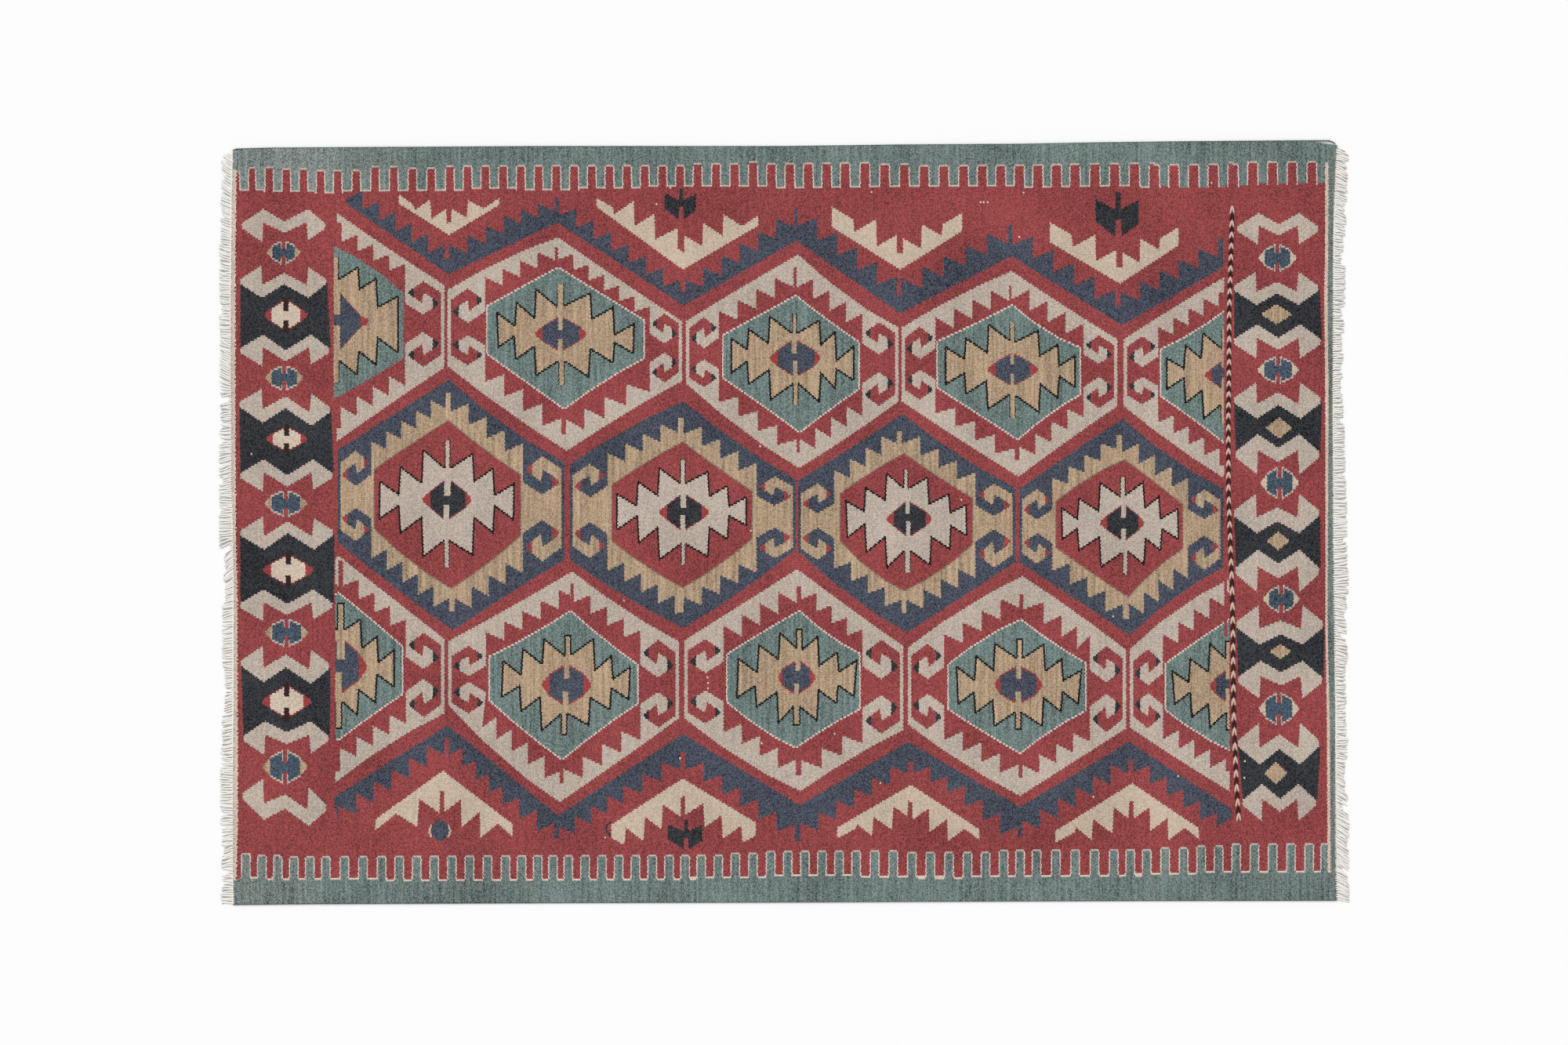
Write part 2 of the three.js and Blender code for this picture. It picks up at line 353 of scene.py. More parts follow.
def starQuarter(q, inward):  # three crests rise to the middle, each with a steep inner side
    tip, first, second, lowCrest, highCrest, lowDip, midDip, highDip = q
    midCrest = (lowCrest + highCrest) / 2 + starCrest["follow"] * (midDip - (lowDip + highDip) / 2)
    step = starCrest["width"] * inward
    near = [(tip, lowCrest), (first, lowDip), (first + step, midCrest)]
    return near + [(second, midDip), (second + step, highCrest)]


def star(c, s, palette, within):
    upLeft, upRight, lowLeft, lowRight = (starQuarter(q, inward) for q, inward in zip(s[:4], (1, -1, 1, -1)))
    spikes = []
    for quarter, (x0, x1, end) in zip((0, 2), s[4:]):
        left, right = s[quarter][7], s[quarter + 1][7]
        spikes.append([(x0 - 1, left), (x0, left), (x0, end), (x1, end), (x1, right), (x1 + 1, right)])
    up, low = spikes
    c.fill(palette["star"], upLeft + up + upRight[::-1] + lowRight + low[::-1] + lowLeft[::-1], within)
    for spike in spikes:
        for side in (spike[1:3], spike[3:5]) + ((spike[2:4],) if palette["capped"] else ()):
            c.line(palette["starRim"], side, palette["spikeRim"], within)
    for high, deep, end in ((upLeft, lowLeft, 0), (upRight, lowRight, -1)):
        rim = [up[end]] + high[::-1] + deep + [low[end]]
        c.line(palette["starRim"], rim, palette["starRimWidth"], within)


eyeCut = dict(blunt=0.045, shoulder=0.7, away=1.2, line=1.3, slotOver=3, slotShort=1)


def eye(c, e, palette, within=None):
    tipLeft, tipRight, left, right, top, foot, upLeft, upRight, upEnd, lowLeft, lowRight, lowStart = e
    middle, side, rim = (top + foot) / 2, palette["eyeSide"] * (foot - top), palette["eyeRimWidth"]
    blunt, shoulder = eyeCut["blunt"] * (foot - top), side + rim * eyeCut["shoulder"]
    away, over = eyeCut["away"], eyeCut["slotOver"]
    tips = [[(x, middle + shoulder), (tip, middle + blunt), (tip, middle - blunt), (x, middle - shoulder)]
        for x, tip in ((left, tipLeft), (right, tipRight))]
    crown, base = [(upLeft - 1, top), (upRight + 1, top)], [(lowRight + 1, foot), (lowLeft - 1, foot)]
    upper = [(left, middle - side)] + [(x, y + rim) for x, y in crown] + [(right, middle - side)]
    lower = [(right, middle + side)] + [(x, y - rim) for x, y in base] + [(left, middle + side)]
    if palette["outline"]:
        for edge, out in ((upper, -away), (lower, away)):
            c.line(palette["outline"], [(x, y + out) for x, y in edge], eyeCut["line"], within)
    else:
        c.fill(palette["eyeRim"], tips[0] + crown + tips[1][::-1] + base, within)
    for tip in tips:
        c.fill(palette.get("tips", palette["eyeRim"]), tip, within)
    c.fill(palette["eye"], upper + lower, within)
    for x0, x1, y0, y1 in ((upLeft, upRight, top - over, upEnd), (lowLeft, lowRight, lowStart, foot + over)):
        if palette["outline"]:
            c.fill(palette["outline"], box(x0 - away, x1 + away, y0 + over, y1 - eyeCut["slotShort"]), within)
        c.fill(palette["star"], box(x0, x1, y0, y1), within)


def panel(c, palette, p):
    within, (outer, bows) = p.get("within"), p["outer"]
    c.fill(palette["outer"], sixSides(outer, bows), within)
    upper, lower = quarters(p["teeth"], p.get("spread", (0, 0, 0, 0)), p.get("shift", (0, 0)))
    sides = (outer[2] + palette["stripe"], p["teeth"][0][0]), (outer[5] - palette["stripe"], p["teeth"][0][3])

    def placed(shape, k):  # a horn at one of the four corners
        return fitted(shape, *sides[k % 2], *p["horns"][k])

    rightHorns, leftHorns = placed(horn, 1)[::-1] + placed(horn, 3), placed(horn, 2)[::-1] + placed(horn, 0)
    c.fill(palette["toothed"], upper + rightHorns + lower + leftHorns, within)
    for k in range(4):
        for tip in (hornOuterTip, hornInnerTip):
            c.fill(palette["tip"], placed(tip, k), within)
    inner, within = sixSides(*p["inner"]), p.get("innerWithin", within)
    if p.get("rim", True):
        c.line(palette["rim"], inner + inner[:1], palette["rimWidth"], within)
    c.fill(palette["inner"], inner, within)
    star(c, p["star"], palette, within)
    eye(c, p["eye"], dict(palette, **p.get("eyeShape", {})), within)


# Four quarters are listed as upper left, upper right, lower left and lower right.
# outer and inner: top x and y, left x and its two y, right x and its two y, foot x and y; then the four bows
# horns: crown and waist of each
# teeth: the six corner readings, the spike above, the spike below, how many teeth, how deep
# spread: how much wider the teeth at the shoulder are
# shift: how far down the upper right row of teeth stands, and how far right the lower left row
# star: the quarters, each its side tip, two steep sides, first and last crest, three dips; then the spikes
# eye: two tips, two sides, top and foot, the slot above with its end, the slot below with its start
backRow = [
    dict(outer=((430, 272, 295, 364, 468, 567, 364, 469, 430, 563), (0, 1, 0, -1)),
        inner=((426, 314, 350, 375, 455, 515, 374, 457, 428, 508), (0, -5, 0, 1)),
        horns=((360, 401), (359, 401), (468, 424), (468, 424)),
        teeth=((340, 336, 492, 517, 337, 492), (420, 436, 288, 284), (420, 435, 544, 547), (4, 4, 4, 4),
            (20, 20, 25, 25)),
        within=(430, 2000), innerWithin=(426, 2000), rim=False,
        star=((352, 380, 403, 378, 341, 392, 369, 356), (508, 482, 459, 378, 341, 392, 369, 356),
            (352, 380, 403, 450, 478, 431, 448, 461), (508, 482, 458, 450, 478, 431, 448, 461),
            (420, 432, 329), (420, 433, 488)),
        eye=(386, 470, 395, 461, 374, 446, 420, 434, 402, 420, 434, 416),
        eyeShape=dict(eyeSide=0.085, eyeRimWidth=1.2)),
    dict(outer=((712, 303, 571, 370, 467, 870, 410, 486, 723, 575), (-4, 1, 3, -2)),
        inner=((712, 342, 622, 391, 451, 821, 409, 457, 720, 521), (0, 0, 0, -3)),
        horns=((368, 412), (400, 438), (466, 428), (488, 450)),
        teeth=((619, 354, 487, 829, 391, 500), (708, 712, 311, 316), (716, 722, 562, 554), (4, 6, 4, 4),
            (21, 20, 28, 27)),
        spread=(0, 0, 0, 0.16),
        star=((634, 657, 682, 399, 369, 416, 406, 391), (809, 784, 755, 413, 374, 427, 407, 390),
            (636, 656, 682, 443, 479, 429, 442, 461), (808, 784, 753, 451, 481, 437, 445, 461),
            (711, 719, 363), (713, 720, 491)),
        eye=(683, 748, 692, 739, 405, 447, 712, 718, 420, 712, 718, 432)),
    dict(outer=((1018, 325, 875, 410, 489, 1146, 418, 512, 1019, 597), (-1, 6, 5, 2)),
        inner=((1015, 378, 923, 428, 482, 1095, 437, 496, 1020, 551), (0, 1, -1, -1)),
        horns=((405, 444), (411, 452), (494, 459), (518, 475)),
        teeth=((917, 397, 513, 1100, 400, 531), (1012, 1016, 341, 342), (1016, 1020, 586, 578),
            (4, 4, 4, 4), (25, 26, 25, 26)),
        star=((933, 953, 980, 432, 404, 446, 438, 425), (1089, 1067, 1047, 442, 409, 460, 440, 425),
            (933, 953, 981, 476, 510, 461, 472, 490), (1089, 1067, 1047, 485, 513, 471, 476, 490),
            (1011, 1016, 401), (1012, 1018, 517)),
        eye=(982, 1046, 992, 1039, 434, 480, 1010, 1016, 450, 1012, 1017, 461)),
    dict(outer=((1290, 346, 1150, 418, 512, 1425, 433, 518, 1299, 608), (-3, 1, 1, -1)),
        inner=((1291, 390, 1196, 436, 494, 1377, 444, 503, 1298, 560), (1, 5, 0, -3)),
        horns=((417, 458), (428, 464), (510, 472), (521, 481)),
        teeth=((1193, 405, 527, 1382, 417, 532), (1287, 1290, 359, 364), (1294, 1300, 596, 588),
            (4, 4, 4, 4), (25, 27, 24, 26)),
        shift=(-4, 0),
        star=((1206, 1230, 1259, 443, 414, 458, 450, 434), (1371, 1351, 1326, 454, 422, 467, 454, 436),
            (1206, 1230, 1258, 490, 522, 476, 486, 504), (1371, 1351, 1327, 494, 526, 480, 490, 505),
            (1288, 1294, 411), (1288, 1295, 532)),
        eye=(1260, 1324, 1270, 1314, 451, 492, 1289, 1293, 465, 1289, 1293, 476)),
    dict(outer=((1561, 354, 1433, 433, 518, 1690, 432, 518, 1560, 609), (-1, 0, 3, 0)),
        inner=((1564, 396, 1481, 446, 505, 1650, 445, 504, 1564, 566), (3, 0, -1, 0)),
        horns=((429, 468), (429, 468), (516, 481), (516, 481)),
        teeth=((1477, 417, 539, 1650, 417, 538), (1554, 1700, 369, 372), (1555, 1700, 595, 593),
            (4, 4, 4, 4), (22, 22, 23, 23)),
        within=(0, 1561),
        star=((1488, 1510, 1532, 457, 425, 470, 457, 444), (1640, 1618, 1590, 457, 425, 470, 457, 444),
            (1488, 1510, 1533, 497, 534, 482, 498, 517), (1640, 1618, 1590, 497, 534, 482, 498, 517),
            (1558, 1566, 421), (1557, 1566, 540)),
        eye=(1536, 1590, 1545, 1580, 461, 496, 1558, 1570, 470, 1558, 1570, 482)),
]
middleRow = [
    dict(outer=((573, 484, 431, 574, 691, 720, 590, 714, 578, 804), (0, 6, 2, -1)),
        inner=((572, 537, 478, 599, 674, 664, 606, 683, 576, 750), (-1, 2, 5, 3)),
        horns=((575, 620), (582, 631), (690, 648), (716, 663)),
        teeth=((474, 563, 712, 667, 566, 731), (569, 575, 498, 502), (573, 580, 790, 780), (5, 4, 5, 4),
            (23, 27, 27, 27)),
        star=((485, 509, 538, 614, 574, 631, 616, 597), (656, 631, 605, 617, 579, 632, 614, 597),
            (484, 509, 538, 662, 710, 645, 660, 690), (655, 631, 605, 663, 708, 645, 660, 690),
            (568, 574, 562), (567, 573, 724)),
        eye=(539, 601, 549, 594, 613, 662, 567, 575, 632, 566, 573, 644)),
    dict(outer=((872, 512, 727, 592, 714, 1015, 612, 701, 872, 801), (-4, 4, 4, 4)),
        inner=((871, 564, 781, 619, 690, 959, 627, 687, 871, 749), (-2, 1, 3, 3)),
        horns=((592, 634), (608, 645), (712, 666), (712, 673)),
        teeth=((775, 578, 728, 965, 591, 730), (865, 872, 529, 533), (865, 872, 786, 780), (4, 4, 4.2, 4),
            (23, 25, 24, 24)),
        star=((787, 812, 839, 630, 597, 645, 632, 616), (952, 930, 905, 634, 602, 646, 633, 616),
            (787, 813, 839, 676, 714, 658, 673, 694), (952, 930, 905, 670, 710, 658, 673, 694),
            (868, 874, 586), (869, 874, 720)),
        eye=(841, 904, 851, 895, 631, 676, 868, 875, 647, 868, 874, 658)),
    dict(outer=((1151, 528, 1018, 613, 703, 1295, 622, 717, 1157, 807), (1, 5, 6, 0)),
        inner=((1153, 579, 1072, 630, 690, 1240, 636, 694, 1153, 753), (-2, 1, 6, 5)),
        horns=((617, 655), (617, 658), (714, 673), (724, 675)),
        teeth=((1064, 600, 725, 1244, 603, 737), (1144, 1150, 542, 550), (1150, 1156, 789, 783),
            (4, 4, 4, 4), (24, 24, 24, 24)),
        star=((1079, 1102, 1129, 639, 604, 652, 638, 622), (1232, 1212, 1185, 644, 609, 654, 643, 623),
            (1081, 1103, 1129, 686, 724, 668, 685, 703), (1233, 1213, 1188, 683, 721, 671, 685, 703),
            (1153, 1158, 599), (1154, 1161, 730)),
        eye=(1131, 1188, 1140, 1181, 640, 684, 1155, 1160, 656, 1156, 1161, 666)),
    dict(outer=((1432, 534, 1300, 624, 717, 1560, 623, 724, 1441, 810), (-1, 6, 0, -6)),
        inner=((1434, 587, 1347, 640, 698, 1508, 644, 700, 1439, 761), (-4, -1, 1, -4)),
        horns=((624, 663), (625, 662), (719, 680), (727, 683)),
        teeth=((1342, 610, 728, 1515, 610, 738), (1424, 1431, 551, 556), (1432, 1440, 798, 790),
            (4, 4, 4, 4), (22, 26, 27, 28)),
        star=((1354, 1374, 1401, 648, 616, 662, 652, 633), (1502, 1480, 1460, 649, 615, 662, 648, 631),
            (1355, 1374, 1402, 688, 723, 674, 685, 705), (1503, 1482, 1461, 688, 720, 675, 687, 704),
            (1429, 1435, 608), (1432, 1438, 732)),
        eye=(1403, 1459, 1412, 1452, 645, 689, 1430, 1436, 661, 1430, 1436, 674)),
]
frontRow = [
    dict(outer=((432, 709, 300, 814, 909, 567, 815, 910, 428, 998), (0, 0, 0, -5)),
        inner=((432, 757, 340, 825, 885, 513, 825, 885, 432, 943), (0, -1, 0, -1)),
        horns=((807, 853), (807, 853), (915, 866), (915, 866)),
        teeth=((340, 790, 923, 518, 790, 923), (432, 438, 722, 716), (428, 434, 979, 985), (4, 4, 4, 4),
            (25, 25, 25, 25)),
        within=(428, 2000),
        star=((367, 388, 408, 829, 790, 845, 827, 803), (503, 483, 462, 829, 790, 845, 827, 803),
            (367, 388, 408, 876, 912, 860, 880, 895), (503, 481, 458, 876, 912, 860, 880, 895),
            (431, 439, 770), (428, 436, 930)),
        eye=(400, 468, 410, 458, 817, 884, 430, 440, 842, 428, 436, 857)),
    dict(outer=((730, 729, 572, 818, 899, 866, 818, 916, 714, 1023), (1, 4, 7, 1)),
        inner=((728, 780, 625, 838, 893, 813, 848, 897, 717, 968), (2, 2, 2, -2)),
        horns=((824, 862), (816, 864), (910, 870), (928, 883)),
        teeth=((620, 806, 928, 817, 804, 944), (728, 732, 744, 745), (714, 719, 1008, 998),
            (4.65, 4, 4.85, 4), (24, 24, 28, 27)),
        spread=(0, 0, -0.13, 0), shift=(0, -5),
        star=((642, 665, 692, 843, 815, 861, 847, 836), (804, 782, 759, 851, 815, 866, 855, 835),
            (640, 663, 689, 889, 932, 875, 889, 911), (802, 780, 753, 892, 925, 878, 890, 910),
            (721, 728, 810), (716, 723, 936)),
        eye=(692, 754, 701, 745, 848, 899, 720, 726, 866, 718, 725, 881)),
    dict(outer=((1017, 726, 873, 817, 916, 1152, 824, 931, 1021, 1009), (0, 1, 6, -3)),
        inner=((1020, 780, 928, 835, 895, 1096, 834, 904, 1015, 953), (-1, 4, 4, -2)),
        horns=((815, 858), (816, 866), (923, 881), (936, 887)),
        teeth=((923, 798, 934, 1100, 803, 948), (1016, 1022, 741, 748), (1015, 1022, 995, 989),
            (4, 4, 4, 3), (28, 23, 26, 25)),
        star=((942, 966, 993, 840, 807, 858, 841, 826), (1093, 1070, 1045, 842, 812, 857, 849, 828),
            (940, 963, 991, 890, 922, 875, 883, 902), (1089, 1069, 1044, 888, 919, 874, 880, 902),
            (1016, 1023, 802), (1012, 1020, 925)),
        eye=(993, 1040, 998, 1033, 843, 885, 1015, 1021, 856, 1013, 1019, 872)),
    dict(outer=((1304, 735, 1158, 826, 924, 1436, 829, 929, 1301, 1015), (-5, -2, 4, 0)),
        inner=((1302, 791, 1210, 848, 904, 1384, 846, 906, 1301, 960), (-4, 2, 1, -3)),
        horns=((821, 866), (824, 870), (930, 885), (934, 885)),
        teeth=((1204, 809, 944, 1390, 811, 946), (1300, 1305, 749, 758), (1299, 1304, 1000, 992),
            (4, 4, 4, 4), (26, 28, 25, 24)),
        spread=(0, -0.3, 0, 0),
        star=((1220, 1243, 1267, 850, 821, 868, 855, 839), (1379, 1356, 1333, 855, 822, 868, 856, 839),
            (1222, 1242, 1266, 898, 926, 883, 893, 909), (1375, 1355, 1331, 898, 926, 882, 890, 909),
            (1297, 1304, 816), (1295, 1302, 931)),
        eye=(1269, 1329, 1276, 1322, 850, 897, 1296, 1302, 866, 1295, 1302, 881)),
    dict(outer=((1566, 740, 1441, 828, 928, 1690, 828, 927, 1568, 1009), (-7, 0, 1, 0)),
        inner=((1568, 791, 1487, 847, 905, 1650, 847, 905, 1568, 956), (-1, 0, 3, 0)),
        horns=((828, 874), (828, 874), (929, 884), (929, 884)),
        teeth=((1483, 809, 943, 1650, 809, 942), (1562, 1700, 746, 757), (1563, 1700, 992, 985),
            (4, 4, 4, 4), (27, 27, 24, 24)),
        within=(0, 1568),
        star=((1495, 1516, 1541, 856, 821, 870, 857, 839), (1640, 1618, 1590, 856, 821, 870, 857, 839),
            (1498, 1518, 1541, 898, 928, 883, 898, 909), (1640, 1618, 1590, 898, 928, 883, 898, 909),
            (1563, 1575, 818), (1564, 1575, 932)),
        eye=(1543, 1600, 1551, 1590, 855, 895, 1563, 1575, 866, 1563, 1575, 879)),
]

# The height a zigzag band starts from, then one arm after another: where its toothed edge starts and ends,
# how many teeth, how deep, the height of its last turn
topZigzag = (260, [(442, 254, 567, 337, 6, -25, 331), (573, 312, 643, 275, 3, 24, 275),
    (643, 275, 708, 251, 3, 19, 253), (713, 275, 868, 381, 7, -24, 372),
    (874, 357, 1013, 264, 6, 25, 267), (1017, 288, 1144, 382, 5, -29, 376),
    (1149, 355, 1286, 284, 5, 27, 288), (1291, 313, 1422, 399, 5, -29, 390),
    (1429, 372, 1553, 303, 5, 26, 305)])
topZigzagBack = [(1560, 305), (1560, 341), (1431, 415), (1290, 327), (1148, 400), (1016, 307), (872, 390),
    (711, 284), (572, 350)]
lowZigzag = (1052, [(432, 1027, 567, 936, 6, 27, 941), (573, 962, 641, 1027, 4, -24, 1027),
    (641, 1027, 707, 1077, 3, -27, 1070), (713, 1054, 795, 1002, 4, 23, 1002),
    (795, 1002, 868, 957, 3, 25, 960), (874, 982, 1014, 1076, 6, -25, 1072),
    (1021, 1050, 1158, 963, 6, 24, 971), (1165, 986, 1208, 1011, 2, -21, 1011),
    (1208, 1011, 1298, 1082, 4, -27, 1067), (1304, 1046, 1439, 961, 6, 26, 969),
    (1445, 985, 1552, 1061, 5, -24, 1055)])
lowZigzagBack = [(1571, 1043), (1571, 1032), (1440, 946), (1301, 1029), (1158, 946), (1020, 1027),
    (871, 936), (712, 1040), (571, 925), (426, 1017)]

# Half a wedge, from the spike in its middle out to its ear
longArm = [(0.02, 0.31), (0.02, 0.63), (0.26, 0.43), (0.27, 0.86), (0.53, 0.62), (0.54, 1.02),
    (0.79, 0.8), (1, 1), (1, 0.81)]
shortArm = [(0.05, 0.29), (0.06, 0.64), (0.35, 0.4), (0.38, 0.87), (0.67, 0.62), (0.73, 0.75), (1, 1),
    (1, 0.77)]
slantArm = [(0.04, 0.33), (0.05, 0.71), (0.35, 0.47), (0.38, 0.94), (0.69, 0.72), (1, 1), (1, 0.82)]
squareArm = [(0.05, 0.27), (0.05, 0.55), (0.34, 0.37), (0.35, 0.8), (0.67, 0.6), (0.69, 0.8), (1, 1),
    (1, 0.68)]
barbedArm = [(0.04, 0.3), (0.05, 0.59), (0.24, 0.4), (0.26, 0.84), (0.51, 0.6), (0.53, 0.95),
    (0.73, 0.74), (0.75, 0.82), (1, 1), (1, 0.8)]
deepArm = [(0.03, 0.31), (0.03, 0.64), (0.28, 0.43), (0.3, 0.85), (0.53, 0.64), (0.55, 1.05), (0.8, 0.82),
    (0.82, 1.11), (1, 1), (1, 0.77)]
broadArm = [(0.06, 0.29), (0.06, 0.58), (0.32, 0.42), (0.33, 0.78), (0.56, 0.61), (0.57, 0.96),
    (0.8, 0.77), (0.81, 0.87), (1, 1), (1, 0.88)]
# apex x and y, left ear x and y, right ear x and y
wedges = [(573, 300, 509, 248, 637, 253, shortArm, slantArm), (871, 344, 761, 253, 967, 275, broadArm,
    longArm), (1148, 344, 1061, 264, 1227, 272, squareArm, squareArm), (1428, 362, 1339, 284, 1503, 290,
    squareArm, squareArm), (565, 983, 479, 1059, 654, 1067, slantArm, longArm),
    (871, 993, 780, 1069, 964, 1066, deepArm, deepArm), (1162, 1001, 1068, 1069, 1249, 1071, barbedArm,
    longArm), (1444, 999, 1346, 1075, 1529, 1070, barbedArm, longArm)]
arrow = [(0, 0.14), (0.46, 0.38), (0.47, 0), (0.58, 0), (0.59, 0.38), (1, 0.16), (1, 0.72), (0.61, 1),
    (0.59, 0.61), (0.47, 0.61), (0.45, 1), (0, 0.66)]
# left, right, top, foot
arrows = [(848, 888, 241, 280), (1397, 1452, 246, 302), (852, 896, 1046, 1083)]

# Wings of the side columns: left, right, height of the crests and of the barbs, how deep the middle dips
leftWings = [(309, 415, 267, 309, 0.37), (307, 416, 380, 339, 0.42), (307, 420, 427, 467, 0.5),
    (306, 421, 541, 498, 0.47, 7), (307, 424, 586, 627, 0.5), (307, 425, 701, 659, 0.5),
    (307, 424, 752, 792, 0.46), (308, 420, 871, 825, 0.43, 4), (311, 419, 920, 963, 0.32),
    (310, 416, 1049, 997, 0.34, 15)]
rightWings = [(1578, 1681, 272, 312, 0.36), (1574, 1681, 389, 347, 0.35), (1574, 1684, 414, 457, 0.4),
    (1574, 1684, 534, 488, 0.38), (1576, 1682, 554, 605, 0.34), (1574, 1682, 680, 630, 0.3),
    (1576, 1682, 701, 755, 0.33), (1577, 1687, 822, 772, 0.26), (1579, 1686, 843, 891, 0.3),
    (1579, 1682, 975, 922, 0.37), (1585, 1678, 1000, 1047, 0.4)]
# eyes and lozenges of the columns: middle x and y, half its width, its height
leftEyes = [(362, 322, 21, 27), (363, 482, 24, 29), (365, 642, 27, 31), (366, 807, 27, 33),
    (364, 978, 28, 40)]
leftDarkEyes = [(365, 402, 27, 38), (366, 560, 26, 30), (368, 727, 32, 38), (366, 895, 31, 40)]
rightEyes = [(1629, 329, 24, 32), (1630, 472, 26, 32), (1632, 616, 24, 38), (1634, 764, 23, 32),
    (1631, 904, 25, 39)]
lozenges = [(1628, 401, 20, 26), (1631, 546, 17, 27), (1630, 690, 15, 23), (1633, 831, 14, 19),
    (1627, 986, 15, 28)]
specks = [(321, 580), (970, 570), (958, 677), (796, 766), (1226, 638), (1420, 785), (868, 966),
    (772, 1068), (886, 1031), (972, 949), (1064, 935), (1123, 999), (1395, 1016), (1502, 990),
    (1587, 972), (1587, 991), (1305, 247), (1251, 259), (1255, 259), (1260, 259), (1300, 303),
    (1545, 233), (1112, 244), (855, 239), (838, 260)]

# Combs: which tooth stands where, evenly between these
topTeeth = [(0, 302), (1, 322), (6, 431), (12, 574), (20, 755), (26, 890), (34, 1078), (40, 1229),
    (46, 1371), (50, 1472), (58, 1673)]
lowTeeth = [(0, 314), (5, 416), (8, 487), (13, 599), (15, 645), (17, 686), (19, 725), (25, 853.5),
    (27, 894.5), (29, 938), (31, 983), (36, 1092), (42, 1234), (44, 1280), (46, 1322), (50, 1420.5),
    (52, 1462.5), (54, 1509.5), (57, 1576.5), (61, 1669.5), (62, 1690)]
leftBand = [(302, 217), (300.5, 320), (300.5, 560), (301.3, 680), (303, 760), (303.6, 1040),
    (301.8, 1123)]
leftCord = [(298.2, 221), (297.6, 400), (297.2, 500), (297.6, 600), (298.7, 700), (299, 800), (299, 1118)]
# the right band's x, y and width
rightBand = [(1689.6, 209, 4.3), (1689.6, 320, 4.3), (1688.4, 380, 4.5), (1689.8, 500, 4.6),
    (1690, 700, 3.4), (1690, 800, 3.1), (1691.8, 920, 3.8), (1692.8, 1100, 4.1), (1692.8, 1113, 4.1)]
combTop = [(303, 219), (322, 215), (344, 214.5), (387, 217), (431, 218.5), (456, 217), (479, 213.5),
    (551, 214.5), (620, 211.5), (868, 211), (960, 208), (1050, 209.5), (1102, 208), (1152, 211),
    (1300, 211), (1447, 210), (1571, 209), (1597, 207.5), (1672, 206)]
combTip = [(290, 242.5), (312, 242.5), (398, 244.5), (420, 246.5), (443, 243.5), (562, 243), (631, 239.5),
    (700, 243), (766, 239), (900, 237.5), (1041, 239), (1114, 237), (1265, 238), (1434, 237.5),
    (1545, 239), (1609, 235), (1660, 234), (1710, 233)]
toothHalf = [(303, 3.5), (322, 3.9), (344, 4.6), (600, 4.8), (900, 4.9), (1000, 5.4), (1250, 5.5),
    (1320, 5.8), (1571, 5.9), (1672, 5.4)]
lowCombTop = [(300, 1085), (325, 1092.5), (880, 1092.5), (1000, 1086), (1090, 1085), (1180, 1088),
    (1345, 1084.5), (1460, 1084), (1576, 1077.5), (1700, 1077)]
lowCombFoot = [(290, 1120), (560, 1122.5), (860, 1121), (994, 1117.5), (1081, 1117), (1140, 1119),
    (1222, 1119), (1330, 1117.5), (1498, 1115), (1570, 1111.5), (1710, 1112)]
# the border's batches of teal yarn, each with its first and last column
topBatches = [("mist", 290, 432), ("haze", 432, 520), ("border", 520, 1710)]
lowBatches = [("haze", 290, 412), ("border", 412, 1710)]
comb = dict(span=(290, 1710), back=150, front=1180, seam=1.5, seamEnd=1480, lowHalf=4.8, edge=1.3, flare=0.4,
    crown=0.8, shoulder=2.4, corner=1.2, root=4)
# rounded feet of the ground between the low teeth: yarn, how far in and down its top is, and then its foot
combFeet = [("pale", 0, -2, 1.5, 1.2), ("red", 1.3, -3, 2.4, -1.3)]


def zigzag(level, arms):
    points = []
    for x0, y0, x1, y1, count, depth, turn in arms:
        points += [(x0, level)] + teeth(x0, y0, x1, y1, count, depth) + [(x1, turn)]
        level = turn
    return points


def toothMiddles(places):
    return [float(along(places, i)) for i in range(places[-1][0] + 1)]


def dye(c, batches, points):
    for yarn, start, end in batches:
        c.fill(yarn, points, within=(start, end))


def drawCombs(c):
    start, end = comb["span"]
    edge, flare, crown, root, lowHalf = (comb[name] for name in ("edge", "flare", "crown", "root", "lowHalf"))
    dye(c, topBatches, [(start, comb["back"]), (end, comb["back"])] + combTip[::-1])
    c.line("ivory", combTip, comb["seam"], within=(start, comb["seamEnd"]))
    for x in toothMiddles(topTeeth):
        top, tip, half = (float(along(t, x)) for t in (combTop, combTip, toothHalf))
        c.fill("pale", mirrored(x, [(half + edge + flare, tip + 1), (half + edge, top + 2 * crown)]))
        c.line("ivory", mirrored(x, [(half, top - flare)]), 1)
        rounded = [(half, top + comb["shoulder"]), (half - comb["corner"], top + crown)]
        c.fill("red", mirrored(x, [(half + flare, tip + root)] + rounded))
    dye(c, lowBatches, [(start, comb["front"]), (end, comb["front"])] + lowCombFoot[::-1])
    middles = toothMiddles(lowTeeth)
    for x in middles:
        top, foot = float(along(lowCombTop, x)), float(along(lowCombFoot, x))
        c.fill("pale", box(x - lowHalf - edge, x + lowHalf + edge, top + crown, foot))
        c.line("ivory", mirrored(x, [(lowHalf, top - flare)]), 1)
        dye(c, lowBatches, box(x - lowHalf, x + lowHalf, top + crown, foot + root))
    for a, b in zip(middles[:-1], middles[1:]):
        x, half = (a + b) / 2, (b - a) / 2 - lowHalf
        foot = float(along(lowCombFoot, x))
        dye(c, lowBatches, box(a + lowHalf, b - lowHalf, foot - 1, foot + 3))
        for yarn, inset, down, footInset, footDown in combFeet:
            c.fill(yarn, mirrored(x, [(half - inset, foot + down), (half - footInset, foot + footDown)]))


